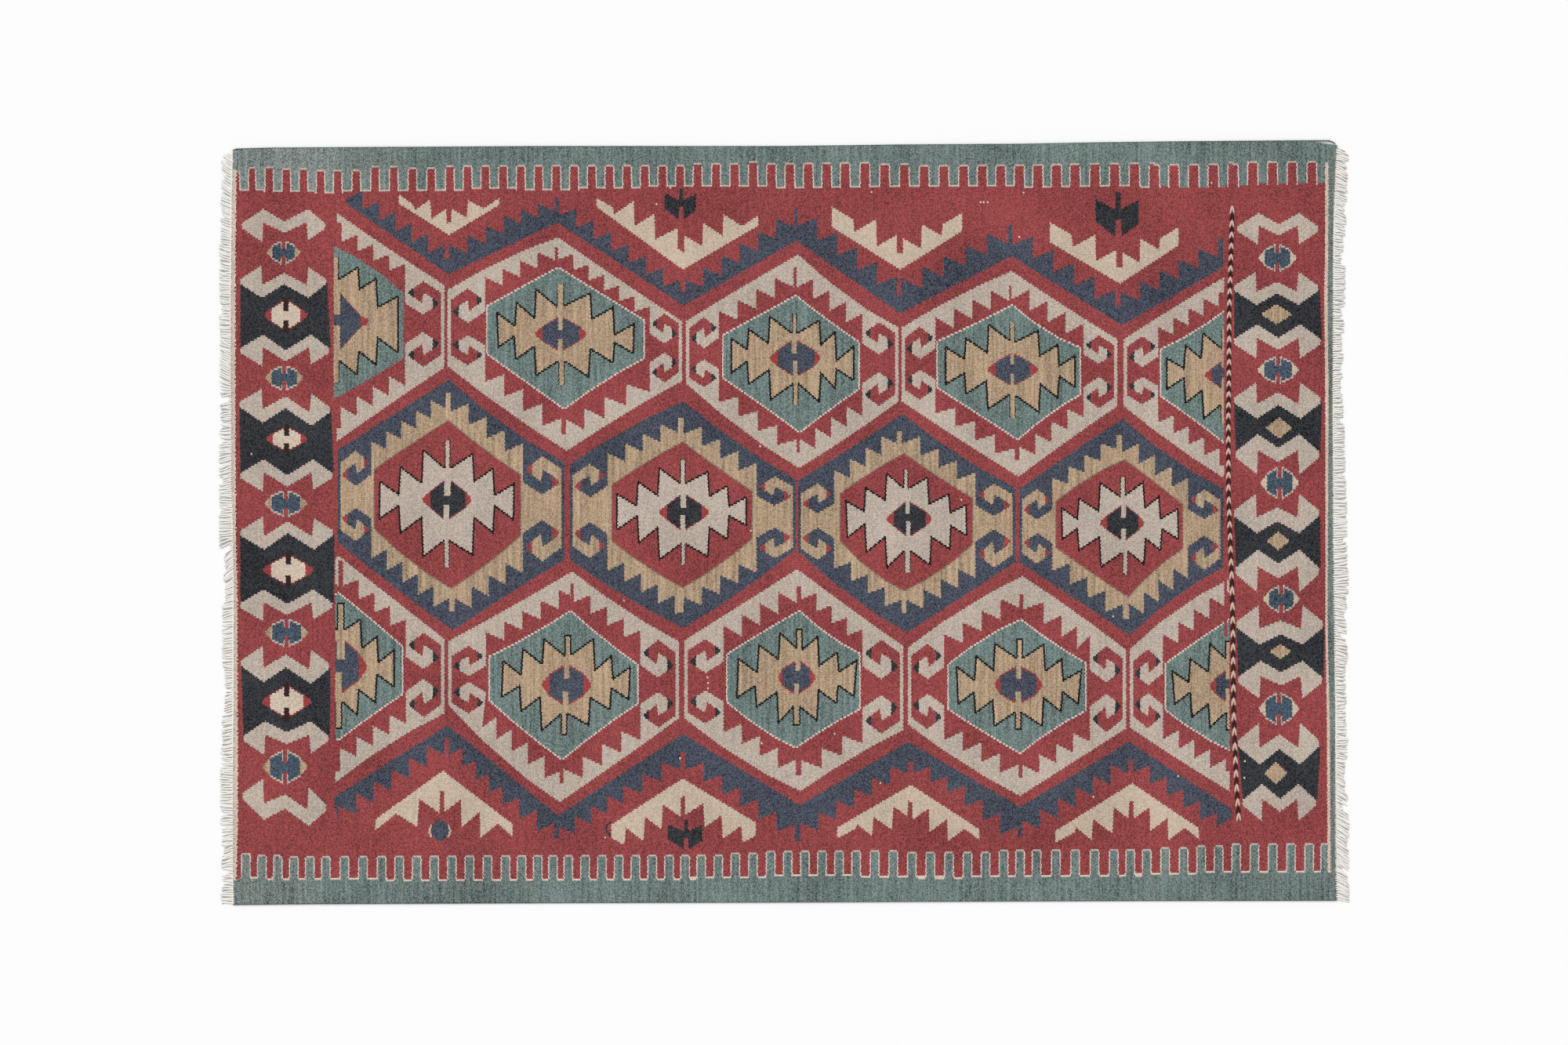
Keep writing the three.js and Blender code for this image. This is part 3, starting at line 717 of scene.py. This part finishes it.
def wedge(c, x, y, leftX, leftY, rightX, rightY, leftArm, rightArm):
    leftHalf, rightHalf = fitted(leftArm, x, leftX, y, leftY), fitted(rightArm, x, rightX, y, rightY)
    c.fill("cream", leftHalf[::-1] + rightHalf + [(x, y)])


def columnEye(c, x, y, half, height, palette):
    body, slot, deep = palette["body"] * half, palette["slot"], palette["slotDeep"] * height
    top, foot = y - height / 2, y + height / 2
    slots = (x - slot, x + slot, top + deep, x - slot, x + slot, foot - deep)
    eye(c, (x - half, x + half, x - body, x + body, top, foot) + slots, palette)


def wing(crests, left, right, crest, barb, dip, lean=0):  # lean: how much lower its right tip is
    near, far, farBarb = crests
    upper = [(0, 0.43), (near, 0), (0.51, dip), (far, 0), (1, 0.43)]
    lower = [(1, 0.58), (far, farBarb), (far - 0.02, 0.4), (0.51, dip + 0.35), (near, 0.4), (near - 0.01, 1)]
    shape = upper + lower + [(0, 0.58)]
    placed = fitted(shape, left, right, crest, barb)
    return [(x, y + lean * (u - 0.5)) for (x, y), (u, v) in zip(placed, shape)]


def column(c, wings, eyes, darkEyes, tips, crests):  # crests: where both are, and the second barb's length
    wings = [wing(crests, *place) for place in wings]
    for low, high in zip(wings[1::2], wings[2::2]):  # the ground between two pairs of wings is black
        outside = [(x + 2, y) for x, y in (low[4], high[4])]
        c.fill("black", low[:5] + outside + high[4::-1])
    for shape in wings:
        c.fill("ivory", shape)
    for e in eyes:
        columnEye(c, *e, dict(redColumn, tips=tips))
    for e in darkEyes:
        columnEye(c, *e, blackColumn)


# The lone blue eye near the front, with its rims, and the curl beside the second wedge
loneEye = [(550.7, 1054), (557, 1046.5), (566, 1046.5), (572.4, 1054), (572.4, 1064), (566, 1072),
    (557, 1072), (550.7, 1064)]
loneRims = [[(550, 1053.5), (547.6, 1060), (550, 1066.5)], [(572.6, 1053.5), (574.6, 1060), (572.6, 1066.5)]]
curl = [(778, 1049), (773.5, 1054), (773.5, 1060), (778, 1065)]
mark = dict(rim=2.4, curl=2.6, speck=(1, 1.2), beadX=(902, 904), beadY=(860, 880), beadPitch=3.4, bead=1.7)
redSeam = box(1561.4, 1565, 520, 812)
# The bands at both ends: where each starts and stops
ends = dict(outside=290, band=(217, 1123), cord=(221, 1118), rightOutside=1710, rightSpan=(190, 1130),
    rightStart=(1689.2, 208), rightInset=0.3)
# stitches of the wrapped cord and the beaded edge: near side, far side, how deep
edgeStitch = dict(first=220, last=1120, pitch=3.9, cord=(0.6, 1.8, 1.6), pale=(-0.6, 0.5, 2.1),
    dark=(-0.3, 0.9, 1.8))


def drawEnds(c):
    for yarn, inner, span in (("straw", leftBand, ends["band"]), ("olive", leftCord, ends["cord"])):
        c.fill(yarn, [(ends["outside"], span[0])] + inner + [(ends["outside"], span[1])])
    pitch = edgeStitch["pitch"]
    heights = np.arange(edgeStitch["first"], edgeStitch["last"], pitch)
    cordLine = sideEdge(leftEdge, yOf(heights)) / chart["step"] + chart["centre"][0]
    for y, outerX, innerX in zip(heights, cordLine, sideEdge(leftBand, heights)):
        for yarn, x, name in (("oliveShade", outerX, "cord"), ("pale", innerX, "pale")):
            near, far, deep = edgeStitch[name]
            c.fill(yarn, box(x + near, x + far, y, y + deep))
        near, far, deep = edgeStitch["dark"]
        c.fill("umber", box(innerX + near, innerX + far, y + pitch - deep, y + pitch))
    outer = [(x + width, y) for x, y, width in rightBand[::-1]]
    inner = [(x + ends["rightInset"], y) for x, y, width in rightBand]
    c.fill("straw", [ends["rightStart"]] + inner + outer)
    c.fill("slate", [(ends["rightOutside"], y) for y in ends["rightSpan"]] + outer)


def drawChart():
    c = Chart()
    drawCombs(c)
    for palette, row in ((firstRow, backRow), (darkPanel, middleRow), (lightPanel, frontRow)):
        for p in row:
            panel(c, palette, p)
    c.fill("blue", zigzag(*topZigzag) + topZigzagBack)
    c.fill("blue", zigzag(*lowZigzag) + lowZigzagBack)
    for w in wedges:
        wedge(c, *w)
    for place in arrows:
        c.fill("black", fitted(arrow, *place))
    column(c, leftWings, leftEyes, leftDarkEyes, "tan", (0.255, 0.795, 0.95))
    column(c, rightWings, rightEyes, [], "cream", (0.265, 0.765, 1))
    for x, y, half, height in lozenges:
        c.fill("tan", [(x - half, y), (x, y - height / 2), (x + half, y), (x, y + height / 2)])
    c.fill("blue", loneEye)
    for rim in loneRims:
        c.line("ivory", rim, mark["rim"])
    c.line("black", curl, mark["curl"])
    for y in np.arange(*mark["beadY"], mark["beadPitch"]):
        c.fill("pale", box(*mark["beadX"], y, y + mark["bead"]))
    across, down = mark["speck"]
    for x, y in specks:
        c.fill("pale", box(x - across, x + across, y - down, y + down))
    c.fill("red", redSeam)
    drawEnds(c)
    return c


drawn = drawChart()
print("chart drawn:", drawn.cells.shape)


waves = dict(height=0.0007, along=7.1, bend=2.3, bendTurns=3.1, down=5.3, slant=1.7)


def ripple(x, y):  # the slow waves of a rug that has been folded and laid out again
    rolls = np.sin(waves["along"] * x + waves["bend"] * np.sin(waves["bendTurns"] * y))
    return waves["height"] * (0.5 + 0.5 * rolls * np.cos(waves["down"] * y + waves["slant"] * x))


def clothRuns():  # every run of one yarn along a rib: rib, start, end, yarn
    runs = []
    half = chart["weft"] / 2
    front, back = float(along(frontEdge, 0)), float(along(backEdge, 0))
    for r, row in enumerate(drawn.cells):
        turns = np.nonzero(np.diff(row))[0] + 1
        share = (r + 0.5) / cloth["ribs"]
        y = front * (1 - share) + back * share
        leftEnd = float(sideEdge(leftEdge, y)) + cloth["endInset"]
        rightEnd = float(sideEdge(rightEdge, y)) - cloth["endInset"]
        for a, b in zip([0, *turns], [*turns, len(row)]):
            x0 = max(xOf(drawn.columns[a] - half), leftEnd) if a else leftEnd
            x1 = min(xOf(drawn.columns[b - 1] + half), rightEnd) if b < len(row) else rightEnd
            if x1 <= x0:
                continue
            parts = max(1, math.ceil((x1 - x0) / cloth["longestRun"]))
            for k in range(parts):
                runs.append((r, x0 + (x1 - x0) * k / parts, x0 + (x1 - x0) * (k + 1) / parts, row[a]))
    return [np.array(part) for part in zip(*runs)]


def addMesh(name, vertices, quads, yarn, weave, material):
    mesh = bpy.data.meshes.new(name)
    mesh.vertices.add(len(vertices))
    mesh.vertices.foreach_set("co", vertices.astype(np.float32).ravel())
    mesh.loops.add(quads.size)
    mesh.loops.foreach_set("vertex_index", quads.astype(np.int32).ravel())
    mesh.polygons.add(len(quads))
    mesh.polygons.foreach_set("loop_start", np.arange(0, quads.size, quads.shape[1], dtype=np.int32))
    mesh.polygons.foreach_set("use_smooth", np.ones(len(quads), bool))
    corners = np.repeat(yarn, quads.shape[1])
    palette = np.array([linear(yarns[n][0]) for n in yarnNames], np.float32)
    feel = np.array([yarns[n][1:] for n in yarnNames], np.float32)
    colourLayer = mesh.attributes.new("yarnColour", "FLOAT_COLOR", "CORNER")
    colourLayer.data.foreach_set("color", palette[corners].ravel())
    feelLayer = mesh.attributes.new("yarnFeel", "FLOAT_VECTOR", "CORNER")
    feelLayer.data.foreach_set("vector", feel[corners].ravel())
    place = vertices[:, :2] / cloth["bakeSpan"] + 0.5
    for layerName, uv in (("weave", weave), ("OFBake", place)):
        layer = mesh.uv_layers.new(name=layerName)
        layer.data.foreach_set("uv", uv[quads.ravel()].astype(np.float32).ravel())
    mesh.materials.append(material)
    mesh.update(calc_edges=True)
    mesh.validate()
    piece = bpy.data.objects.new(name, mesh)
    scene.collection.objects.link(piece)
    return piece


# the wool's groove setting darkens the colour in the valleys between the ribs: painted shade
wool = dict(pick=0.0012, paintedGrooveShade=0.3, streak=(0.005, 0.14, 1), patch=(0.11, 0.11, 1), hue=(0.03, 0.03, 1),
    hueShift=0.1, brightness=1.05, fuzzScale=1500.0, fuzz=0.4, pickRise=2.4, bump=0.5, depth=0.0003,
    roughness=0.88, roughSpeckle=0.1, specular=0.2)


def woolMaterial(name):
    bench = Bench(name)
    colour = bench.node("ShaderNodeAttribute", dict(attribute_name="yarnColour"), {}, out="Color")
    feel = bench.node("ShaderNodeAttribute", dict(attribute_name="yarnFeel"), {}, out="Vector")
    speckled, streaked, patchy = bench.split(feel)
    u, v = bench.split(bench.node("ShaderNodeUVMap", dict(uv_map="weave")))[:2]
    across = v.fract() - 0.5
    halfRib = (v * 2.0).floor()
    picks = u * (1 / (wool["pick"] * millimetres)) + halfRib * 0.5
    cell = bench.node("ShaderNodeCombineXYZ", {}, {0: picks.floor(), 1: halfRib})
    speckle = bench.node("ShaderNodeTexWhiteNoise", dict(noise_dimensions="2D"), {"Vector": cell}) - 0.5
    place = bench.node("ShaderNodeTexCoord", {}, {}, out="Object")
    streak = bench.stretchedNoise(place, wool["streak"]) - 0.5
    patch = bench.stretchedNoise(place, wool["patch"], detail=0.5) - 0.5
    hue = bench.stretchedNoise(place, wool["hue"], out="Color")
    hueShift = wool["hueShift"]
    hue = bench.vector("MULTIPLY_ADD", {0: hue, 1: (hueShift,) * 3, 2: (1 - hueShift / 2,) * 3})
    colour = bench.vector("MULTIPLY", {0: colour, 1: hue})
    # painted shade: the colour grows darker towards each rib's edges, in the valleys between the ribs
    paintedGrooveShade = across * across * 4.0
    shade = wool["brightness"] + speckle * speckled + streak * streaked + patch * patchy
    shade = shade - paintedGrooveShade * paintedGrooveShade * wool["paintedGrooveShade"]
    tinted = bench.vector("SCALE", {0: colour, "Scale": shade})
    alongPick = picks.fract() - 0.5
    fuzz = bench.noise(place, wool["fuzzScale"], 2.0) * wool["fuzz"]
    height = fuzz - alongPick * alongPick * wool["pickRise"]
    roughness = wool["roughness"] + speckle * wool["roughSpeckle"]
    return bench.finish(Base_Color=tinted, Roughness=roughness, Normal=bench.bump(height, wool),
        Specular_IOR_Level=wool["specular"])


woolYarns = woolMaterial("woven_wool_yarns")
ribOf, startOf, endOf, yarnOf = clothRuns()
print("runs of yarn:", len(ribOf))


def layRuns(profile):  # profile: shares of a rib from its front valley, and heights
    lines = len(profile)
    ends = np.stack((startOf, endOf), axis=1)
    back, front = along(backEdge, ends), along(frontEdge, ends)
    vertices = np.zeros((len(ribOf), 2, lines, 3))
    weave = np.zeros((len(ribOf), 2, lines, 2))
    for k, (share, height) in enumerate(profile):
        y = front + (back - front) * ((ribOf[:, None] + share) / cloth["ribs"])
        vertices[:, :, k, 0] = ends
        vertices[:, :, k, 1] = y
        vertices[:, :, k, 2] = height + ripple(ends, y)
        weave[:, :, k, 0] = ends * millimetres
        weave[:, :, k, 1] = ribOf[:, None] + min(max(share, 0.001), 0.999)
    first = np.arange(len(ribOf))[:, None] * 2 * lines
    quads = [first + np.array([[k, k + lines, k + lines + 1, k + 1]]) for k in range(lines - 1)]
    quads = np.stack(quads, axis=1).reshape(-1, 4)
    return vertices.reshape(-1, 3), quads, np.repeat(yarnOf, lines - 1), weave.reshape(-1, 2)


top = cloth["thickness"]
valley, overlap = top - cloth["ribValley"], cloth["ribOverlap"]
ribProfile = [(-overlap, valley), (0.5, top + cloth["ribCrown"]), (1 + overlap, valley)]
face = addMesh("kilim_face", *layRuns(ribProfile), woolYarns)
vertices, quads, yarn, weave = layRuns([(0.0, cloth["underside"]), (1.0, cloth["underside"])])
under = addMesh("kilim_underside", vertices, quads[:, ::-1], yarn, weave, woolYarns)


def joinLots(lots):  # lots of tubes into one mesh: vertices, quads, quads per tube, weave, yarn of each tube
    vertices, quads, yarn, weave, base = [], [], [], [], 0
    for v, q, perTube, w, tubeYarns in lots:
        vertices.append(v)
        quads.append(q + base)
        yarn.append(np.repeat(tubeYarns, perTube))
        weave.append(w)
        base += len(v)
    return [np.concatenate(part) for part in (vertices, quads, yarn, weave)]


selvedge = dict(span=(-0.878, 0.8795), step=0.0024, bulge=0.0007, loop=0.00025, tuck=0.0008, edge=0.0002,
    round=0.0009, ply=(0.05, 0.95))


def makeSelvedges():  # where the wefts turn round the outermost warp
    x = np.arange(*selvedge["span"], selvedge["step"])
    bulge = selvedge["bulge"] + selvedge["loop"] * np.where(np.arange(len(x)) % 2 == 0, 1, -1)
    tuck, edge, rounding = -selvedge["tuck"], selvedge["edge"], selvedge["round"]
    # how far out, how much of the bulge, height
    profile = [(tuck, 0, top), (0, 0, top - edge), (0, 1, top - rounding), (0, 1, rounding), (0, 0, edge),
        (tuck, 0, cloth["underside"])]
    count = len(profile)
    s, k = np.meshgrid(np.arange(len(x) - 1), np.arange(count - 1), indexing="ij")
    a = (s * count + k).ravel()
    quad = np.stack((a, a + 1, a + 1 + count, a + count), axis=1)
    ply = np.linspace(*selvedge["ply"], count)[None, :]
    weave = np.stack(np.broadcast_arrays(x[:, None] * millimetres, ply), axis=2)
    # the selvedges take the hem yarn: their own grey-green, darkened as painted shade of the rounded edge
    hemPaintedShade = np.array([yarnNames.index("hemPaintedShade")])
    lots = []
    for edgeLine, side in ((backEdge, 1), (frontEdge, -1)):
        edgeY = along(edgeLine, x)
        points = np.zeros((len(x), count, 3))
        for k, (out, share, height) in enumerate(profile):
            points[:, k, 0] = x
            points[:, k, 1] = edgeY + side * (out + bulge * share)
            points[:, k, 2] = height + ripple(x, edgeY) * (height > 0.001)
        turned = quad if side > 0 else quad[:, ::-1]
        lots.append((points.reshape(-1, 3), turned, len(quad), weave.reshape(-1, 2), hemPaintedShade))
    return addMesh("kilim_selvedges", *joinLots(lots), woolYarns)


edging = makeSelvedges()
for piece in (face, under, edging):
    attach(piece, "root")
    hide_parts("kilim_cloth")
print("cloth laid:", len(face.data.polygons) * 2, "and", len(under.data.polygons) * 2, "triangles")


# Yarns laid as tubes: paths by tube, step and place, radii by tube and step
def layTubes(paths, radii, sides, flat=1.0):
    tubes, steps = paths.shape[:2]
    ahead = np.gradient(paths, axis=1)
    ahead /= np.linalg.norm(ahead, axis=2, keepdims=True)
    across = np.cross(np.array([0.0, 0.0, 1.0]), ahead)
    across /= np.linalg.norm(across, axis=2, keepdims=True) + 1e-9
    up = np.cross(ahead, across)
    turn = np.linspace(0, 2 * math.pi, sides + 1)
    ring = np.cos(turn)[:, None] * across[:, :, None, :] + np.sin(turn)[:, None] * up[:, :, None, :] * flat
    vertices = paths[:, :, None, :] + radii[:, :, None, None] * ring
    lengths = np.cumsum(np.linalg.norm(np.diff(paths, axis=1), axis=2), axis=1)
    lengths = np.concatenate((np.zeros((tubes, 1)), lengths), axis=1)[:, :, None]
    ply = (turn / (2 * math.pi))[None, None, :]
    weave = np.stack(np.broadcast_arrays(lengths * millimetres, ply), axis=3)
    s, k = np.meshgrid(np.arange(steps - 1), np.arange(sides), indexing="ij")
    a = (s * (sides + 1) + k).ravel()
    quad = np.stack((a, a + sides + 1, a + sides + 2, a + 1), axis=1)
    quads = (np.arange(tubes) * steps * (sides + 1))[:, None, None] + quad
    return vertices.reshape(-1, 3), quads.reshape(-1, 4), len(quad), weave.reshape(-1, 2)


# sides: how much darker each tube's sides are painted than its top; shadow: painted shade in the ply valleys
cord = dict(twist=0.55, shadow=0.12, uneven=0.2, sides=0.12, unevenScale=260.0, fuzzScale=2200.0, fuzz=0.4,
    bump=0.6, depth=0.0002, roughness=0.9, specular=0.2)


def cordMaterial(name):
    bench = Bench(name)
    colour = bench.node("ShaderNodeAttribute", dict(attribute_name="yarnColour"), {}, out="Color")
    u, v = bench.split(bench.node("ShaderNodeUVMap", dict(uv_map="weave")))[:2]
    ply = (v * 2.0 + u * cord["twist"]).fract() - 0.5
    valley = ply * ply * 4.0
    place = bench.node("ShaderNodeTexCoord", {}, {}, out="Object")
    uneven = bench.noise(place, cord["unevenScale"], 2.0) - 0.5
    # painted light and shade: each tube is lighter on its top and darker down its sides, and darker again in
    # the ply valleys
    lit = (v * (2 * math.pi)).sine()
    shade = (1 - cord["sides"]) + lit * cord["sides"] + uneven * cord["uneven"]
    shade = shade - valley * valley * cord["shadow"]
    tinted = bench.vector("SCALE", {0: colour, "Scale": shade})
    height = bench.noise(place, cord["fuzzScale"], 1.0) * cord["fuzz"] - valley
    return bench.finish(Base_Color=tinted, Roughness=cord["roughness"], Normal=bench.bump(height, cord),
        Specular_IOR_Level=cord["specular"])


fringe = dict(pitch=0.00372, sides=6, steps=8, tipShare=0.72, tipPinch=0.45, girth=(0.86, 1.08),
    lift=(1.02, 1.3), root=0.0018, rootHeight=0.00185, margins=(0.0022, 0.0016), usual=14.0,
    shortest=0.002, longest=0.9009, uneven=0.0016, placeJitter=0.0004, leanJitter=0.12,
    sweepJitter=0.0016, sweepBend=1.3, bow=0.0008, curl=0.0004, curlTurns=2.6,
    lockRound=0.0026, lockSoft=0.0022, lastLock=1154.0)
# under and over layer: yarn, thickness, how far between the strands of the other, how much more uneven; the
# under layer's darker grey is painted shade in the gaps between the strands
fringeLayers = [("underWarpPaintedShade", 0.001, 0.5, 2.2), ("warp", 0.0015, 0, 1)]
knot = dict(count=320, steps=6, plump=0.0015, blunt=0.02, margin=0.0015, slant=0.0008, height=0.0019)

# Locks that the strands gather in: the chart height where each starts, and how many steps its tips reach out
leftLocks = [(188, 4), (191, 8), (195, 11.5), (201, 14.5), (219, 12.5), (226, 14), (245, 14.5), (270, 13),
    (275, 14.5), (299, 14.5), (311, 16), (336, 15), (342, 16), (372, 15), (389, 12.5), (401, 15.5),
    (422, 14.5), (450, 15), (470, 16), (489, 14.5), (506, 4), (513, 14.5), (525, 14.5), (537, 13),
    (545, 15.5), (561, 13), (566, 16.5), (594, 16.5), (609, 13), (617, 16.5), (655, 18.5), (700, 5),
    (707, 12), (726, 8), (731, 13.5), (744, 11.5), (769, 15.5), (789, 15.5), (822, 15.5), (851, 12.5),
    (878, 6), (884, 12.5), (913, 15.5), (951, 16.5), (969, 12), (974, 17), (1035, 8), (1040, 16.5),
    (1057, 15), (1080, 13), (1092, 15.5), (1110, 8), (1115, 15), (1127, 8), (1131, 16.5)]
rightLocks = [(186, 8), (192, 12), (196, 15), (208, 13.5), (219, 15), (237, 15), (260, 12), (274, 15),
    (294, 14), (305, 12), (323, 9.5), (337, 14.5), (371, 14), (393, 10), (407, 13), (426, 10), (446, 12),
    (464, 9.5), (476, 12), (483, 9), (500, 11), (508, 12.5), (534, 9), (540, 14), (578, 15), (609, 16),
    (631, 17), (659, 17), (686, 13), (690, 17), (723, 18), (758, 15.5), (780, 12), (790, 15), (809, 8),
    (815, 14), (822, 15.5), (846, 12.5), (869, 12.5), (881, 13), (900, 12), (920, 13), (936, 15),
    (955, 14), (969, 11.5), (986, 11), (1013, 15), (1025, 8.5), (1038, 16.5), (1070, 14.5), (1082, 16),
    (1111, 8), (1117, 15.5), (1128, 17)]
# how far the tips lean towards the back for each step of their reach, down the chart
leftLean = [(200, 0.85), (245, 0.8), (262, 0.4), (325, 0.3), (346, 0.1), (420, 0), (442, 0.3), (466, 0.6),
    (490, 0.35), (502, -0.15), (560, 0), (590, -0.35), (612, -0.4), (634, 0), (682, -0.15), (702, -0.9),
    (740, -0.8), (756, -0.25), (800, -0.2), (850, 0), (890, -0.3), (946, -0.18), (970, 0), (1042, 0),
    (1066, -0.18), (1090, -0.4), (1110, 0)]
rightLean = [(190, -0.5), (206, -0.44), (282, -0.37), (322, -0.15), (354, -0.06), (500, 0), (650, 0),
    (742, 0.1), (766, -0.25), (838, -0.25), (862, -0.1), (886, -0.2), (910, 0), (958, -0.05), (990, -0.6),
    (1034, -0.6), (1102, -0.8), (1134, -0.4), (1144, -0.3)]


def lockReach(locks, height):  # how far tips at these chart heights reach, in chart steps
    starts = np.array([a for a, b in locks] + [fringe["lastLock"]])
    which = np.clip(np.searchsorted(starts, height) - 1, 0, len(locks) - 1)
    inside = np.clip(np.minimum(height - starts[which], starts[which + 1] - height), 0, None)
    rounding = fringe["lockRound"] / chart["step"] * np.exp(-inside * chart["step"] / fringe["lockSoft"])
    return np.array([b for a, b in locks])[which] - rounding


def strands(edge, locks, leans, side, layer, chance):
    yarn, thickness, between, uneven = layer
    start, end = edge[0][1] + fringe["margins"][0], edge[-1][1] - fringe["margins"][1]
    y0 = np.arange(start, end, fringe["pitch"]) + fringe["pitch"] * between
    count, steps = len(y0), fringe["steps"]
    y0 = y0 + chance.uniform(-1, 1, count) * fringe["placeJitter"]
    x0 = sideEdge(edge, y0)
    height = heightOf(y0)
    lean = along(leans, height) + chance.uniform(-1, 1, count) * fringe["leanJitter"]
    reach = np.full(count, fringe["usual"])
    for again in range(3):  # a leaning strand may end in the next lock
        reach = lockReach(locks, height - lean * reach)
    reach = reach * chart["step"] - chance.uniform(0, 1, count) ** 2 * fringe["uneven"] * uneven
    reach = np.clip(reach, fringe["shortest"], fringe["longest"] - np.abs(x0))
    sweep = lean * reach + chance.uniform(-1, 1, count) * fringe["sweepJitter"]
    t = np.linspace(0, 1, steps)[None, :]
    bow = chance.uniform(-1, 1, (count, 1)) * fringe["bow"] * np.sin(math.pi * t)
    bow += chance.uniform(-1, 1, (count, 1)) * fringe["curl"] * np.sin(fringe["curlTurns"] * math.pi * t)
    paths = np.zeros((count, steps, 3))
    paths[:, :, 0] = x0[:, None] + side * (-fringe["root"] + (reach[:, None] + fringe["root"]) * t)
    paths[:, :, 1] = y0[:, None] + sweep[:, None] * t ** fringe["sweepBend"] + bow
    paths[:, :, 2] = thickness
    if yarn == "warp":
        lift = chance.uniform(*fringe["lift"], (count, 1))
        paths[:, :, 2] = fringe["rootHeight"] * (1 - t) + lift * thickness * t
    radii = thickness * chance.uniform(*fringe["girth"], (count, 1)) * (1 - (1 - fringe["tipShare"]) * t ** 2)
    radii[:, -1] *= fringe["tipPinch"]
    return layTubes(paths, radii, fringe["sides"]) + (np.full(count, yarnNames.index(yarn)),)


def stitchRadii(stitch, t, count):  # thick in its middle, blunt at both ends
    plump = np.sqrt(np.clip(1 + stitch["blunt"] - t ** 2, stitch["blunt"], 1))
    return stitch["plump"] * plump * np.ones((count, 1))


def lockingKnots(edge, span, side):
    count, (inner, outer) = knot["count"], span
    y = np.linspace(edge[0][1] + knot["margin"], edge[-1][1] - knot["margin"], count)
    t = np.linspace(-1, 1, knot["steps"])[None, :]
    paths = np.zeros((count, knot["steps"], 3))
    paths[:, :, 0] = sideEdge(edge, y)[:, None] + side * ((inner + outer) / 2 + (outer - inner) / 2 * t)
    paths[:, :, 1] = y[:, None] + knot["slant"] * t
    paths[:, :, 2] = knot["height"]
    radii = stitchRadii(knot, t, count)
    return layTubes(paths, radii, fringe["sides"]) + (np.full(count, yarnNames.index("knot")),)


def makeFringe(name, node, edge, locks, leans, knotSpan, side, seed):
    chance = np.random.default_rng(seed)
    lots = [strands(edge, locks, leans, side, layer, chance) for layer in fringeLayers]
    lots.append(lockingKnots(edge, knotSpan, side))
    piece = addMesh(name, *joinLots(lots), cordMaterial(name.replace("yarns", "wool")))
    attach(piece, "root")
    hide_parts(node)
    return piece


leftEnd = makeFringe("fringe_left_yarns", "fringe_left", leftEdge, leftLocks, leftLean,
    knotSpan=(-0.0006, 0.002), side=-1, seed=11)
rightEnd = makeFringe("fringe_right_yarns", "fringe_right", rightEdge, rightLocks, rightLean,
    knotSpan=(-0.0034, 0.0014), side=1, seed=12)
print("fringes laid:", len(leftEnd.data.polygons) * 4, "triangles")

twine = dict(halfWidth=0.0034, plump=0.0016, blunt=0.03, height=0.0032, rise=0.0006, lean=0.62, overlap=0.95,
    offset=0.0004, slant=(0.5, 0.42), flat=0.6, steps=7, sides=8)
# the middle of the twined line, from the front, and which of its pale stitches stands where
twineLine = [(0.7245, -0.4686), (0.7218, -0.43), (0.7188, -0.369), (0.7163, -0.294), (0.7153, -0.167),
    (0.7141, -0.107), (0.7103, -0.012), (0.7082, 0.054), (0.708, 0.17), (0.709, 0.24), (0.7094, 0.342),
    (0.7118, 0.412), (0.7138, 0.486), (0.7141, 0.5034)]
paleStitches = [(0, -0.4694), (3, -0.4003), (5, -0.3573), (8, -0.2858), (11, -0.2206), (15, -0.134),
    (17, -0.084), (20, -0.0224), (22, 0.0155), (25, 0.0753), (30, 0.1699), (36, 0.2726), (40, 0.3503),
    (44, 0.4226), (47, 0.4761), (48, 0.4985)]


def makeTwine():
    turns = np.arange(0, paleStitches[-1][0] + 0.25, 0.5)  # a dark stitch halfway between two pale ones
    ys = along(paleStitches, turns)
    x = sideEdge(twineLine, ys)
    steps = np.gradient(ys) * twine["overlap"]
    t = np.linspace(-1, 1, twine["steps"])[None, :]
    middle, reach = twine["slant"]
    radii = stitchRadii(twine, t, len(ys))
    stitchYarns = np.where(np.arange(len(ys)) % 2 == 0, yarnNames.index("straw"), yarnNames.index("bark"))
    lots = []
    for side in (-1, 1):
        paths = np.zeros((len(ys), twine["steps"], 3))
        paths[:, :, 0] = x[:, None] + side * twine["halfWidth"] * (middle - reach * t)
        paths[:, :, 1] = ys[:, None] + steps[:, None] * t * twine["lean"] + side * twine["offset"]
        paths[:, :, 2] = twine["height"] + twine["rise"] * (1 - t ** 2)
        lots.append(layTubes(paths, radii, twine["sides"], flat=twine["flat"]) + (stitchYarns,))
    piece = addMesh("twined_line", *joinLots(lots), cordMaterial("twined_line_wool"))
    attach(piece, "root")
    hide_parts("kilim_cloth")
    return piece


twined = makeTwine()
print("twined line laid:", len(twined.data.polygons) * 2, "triangles")
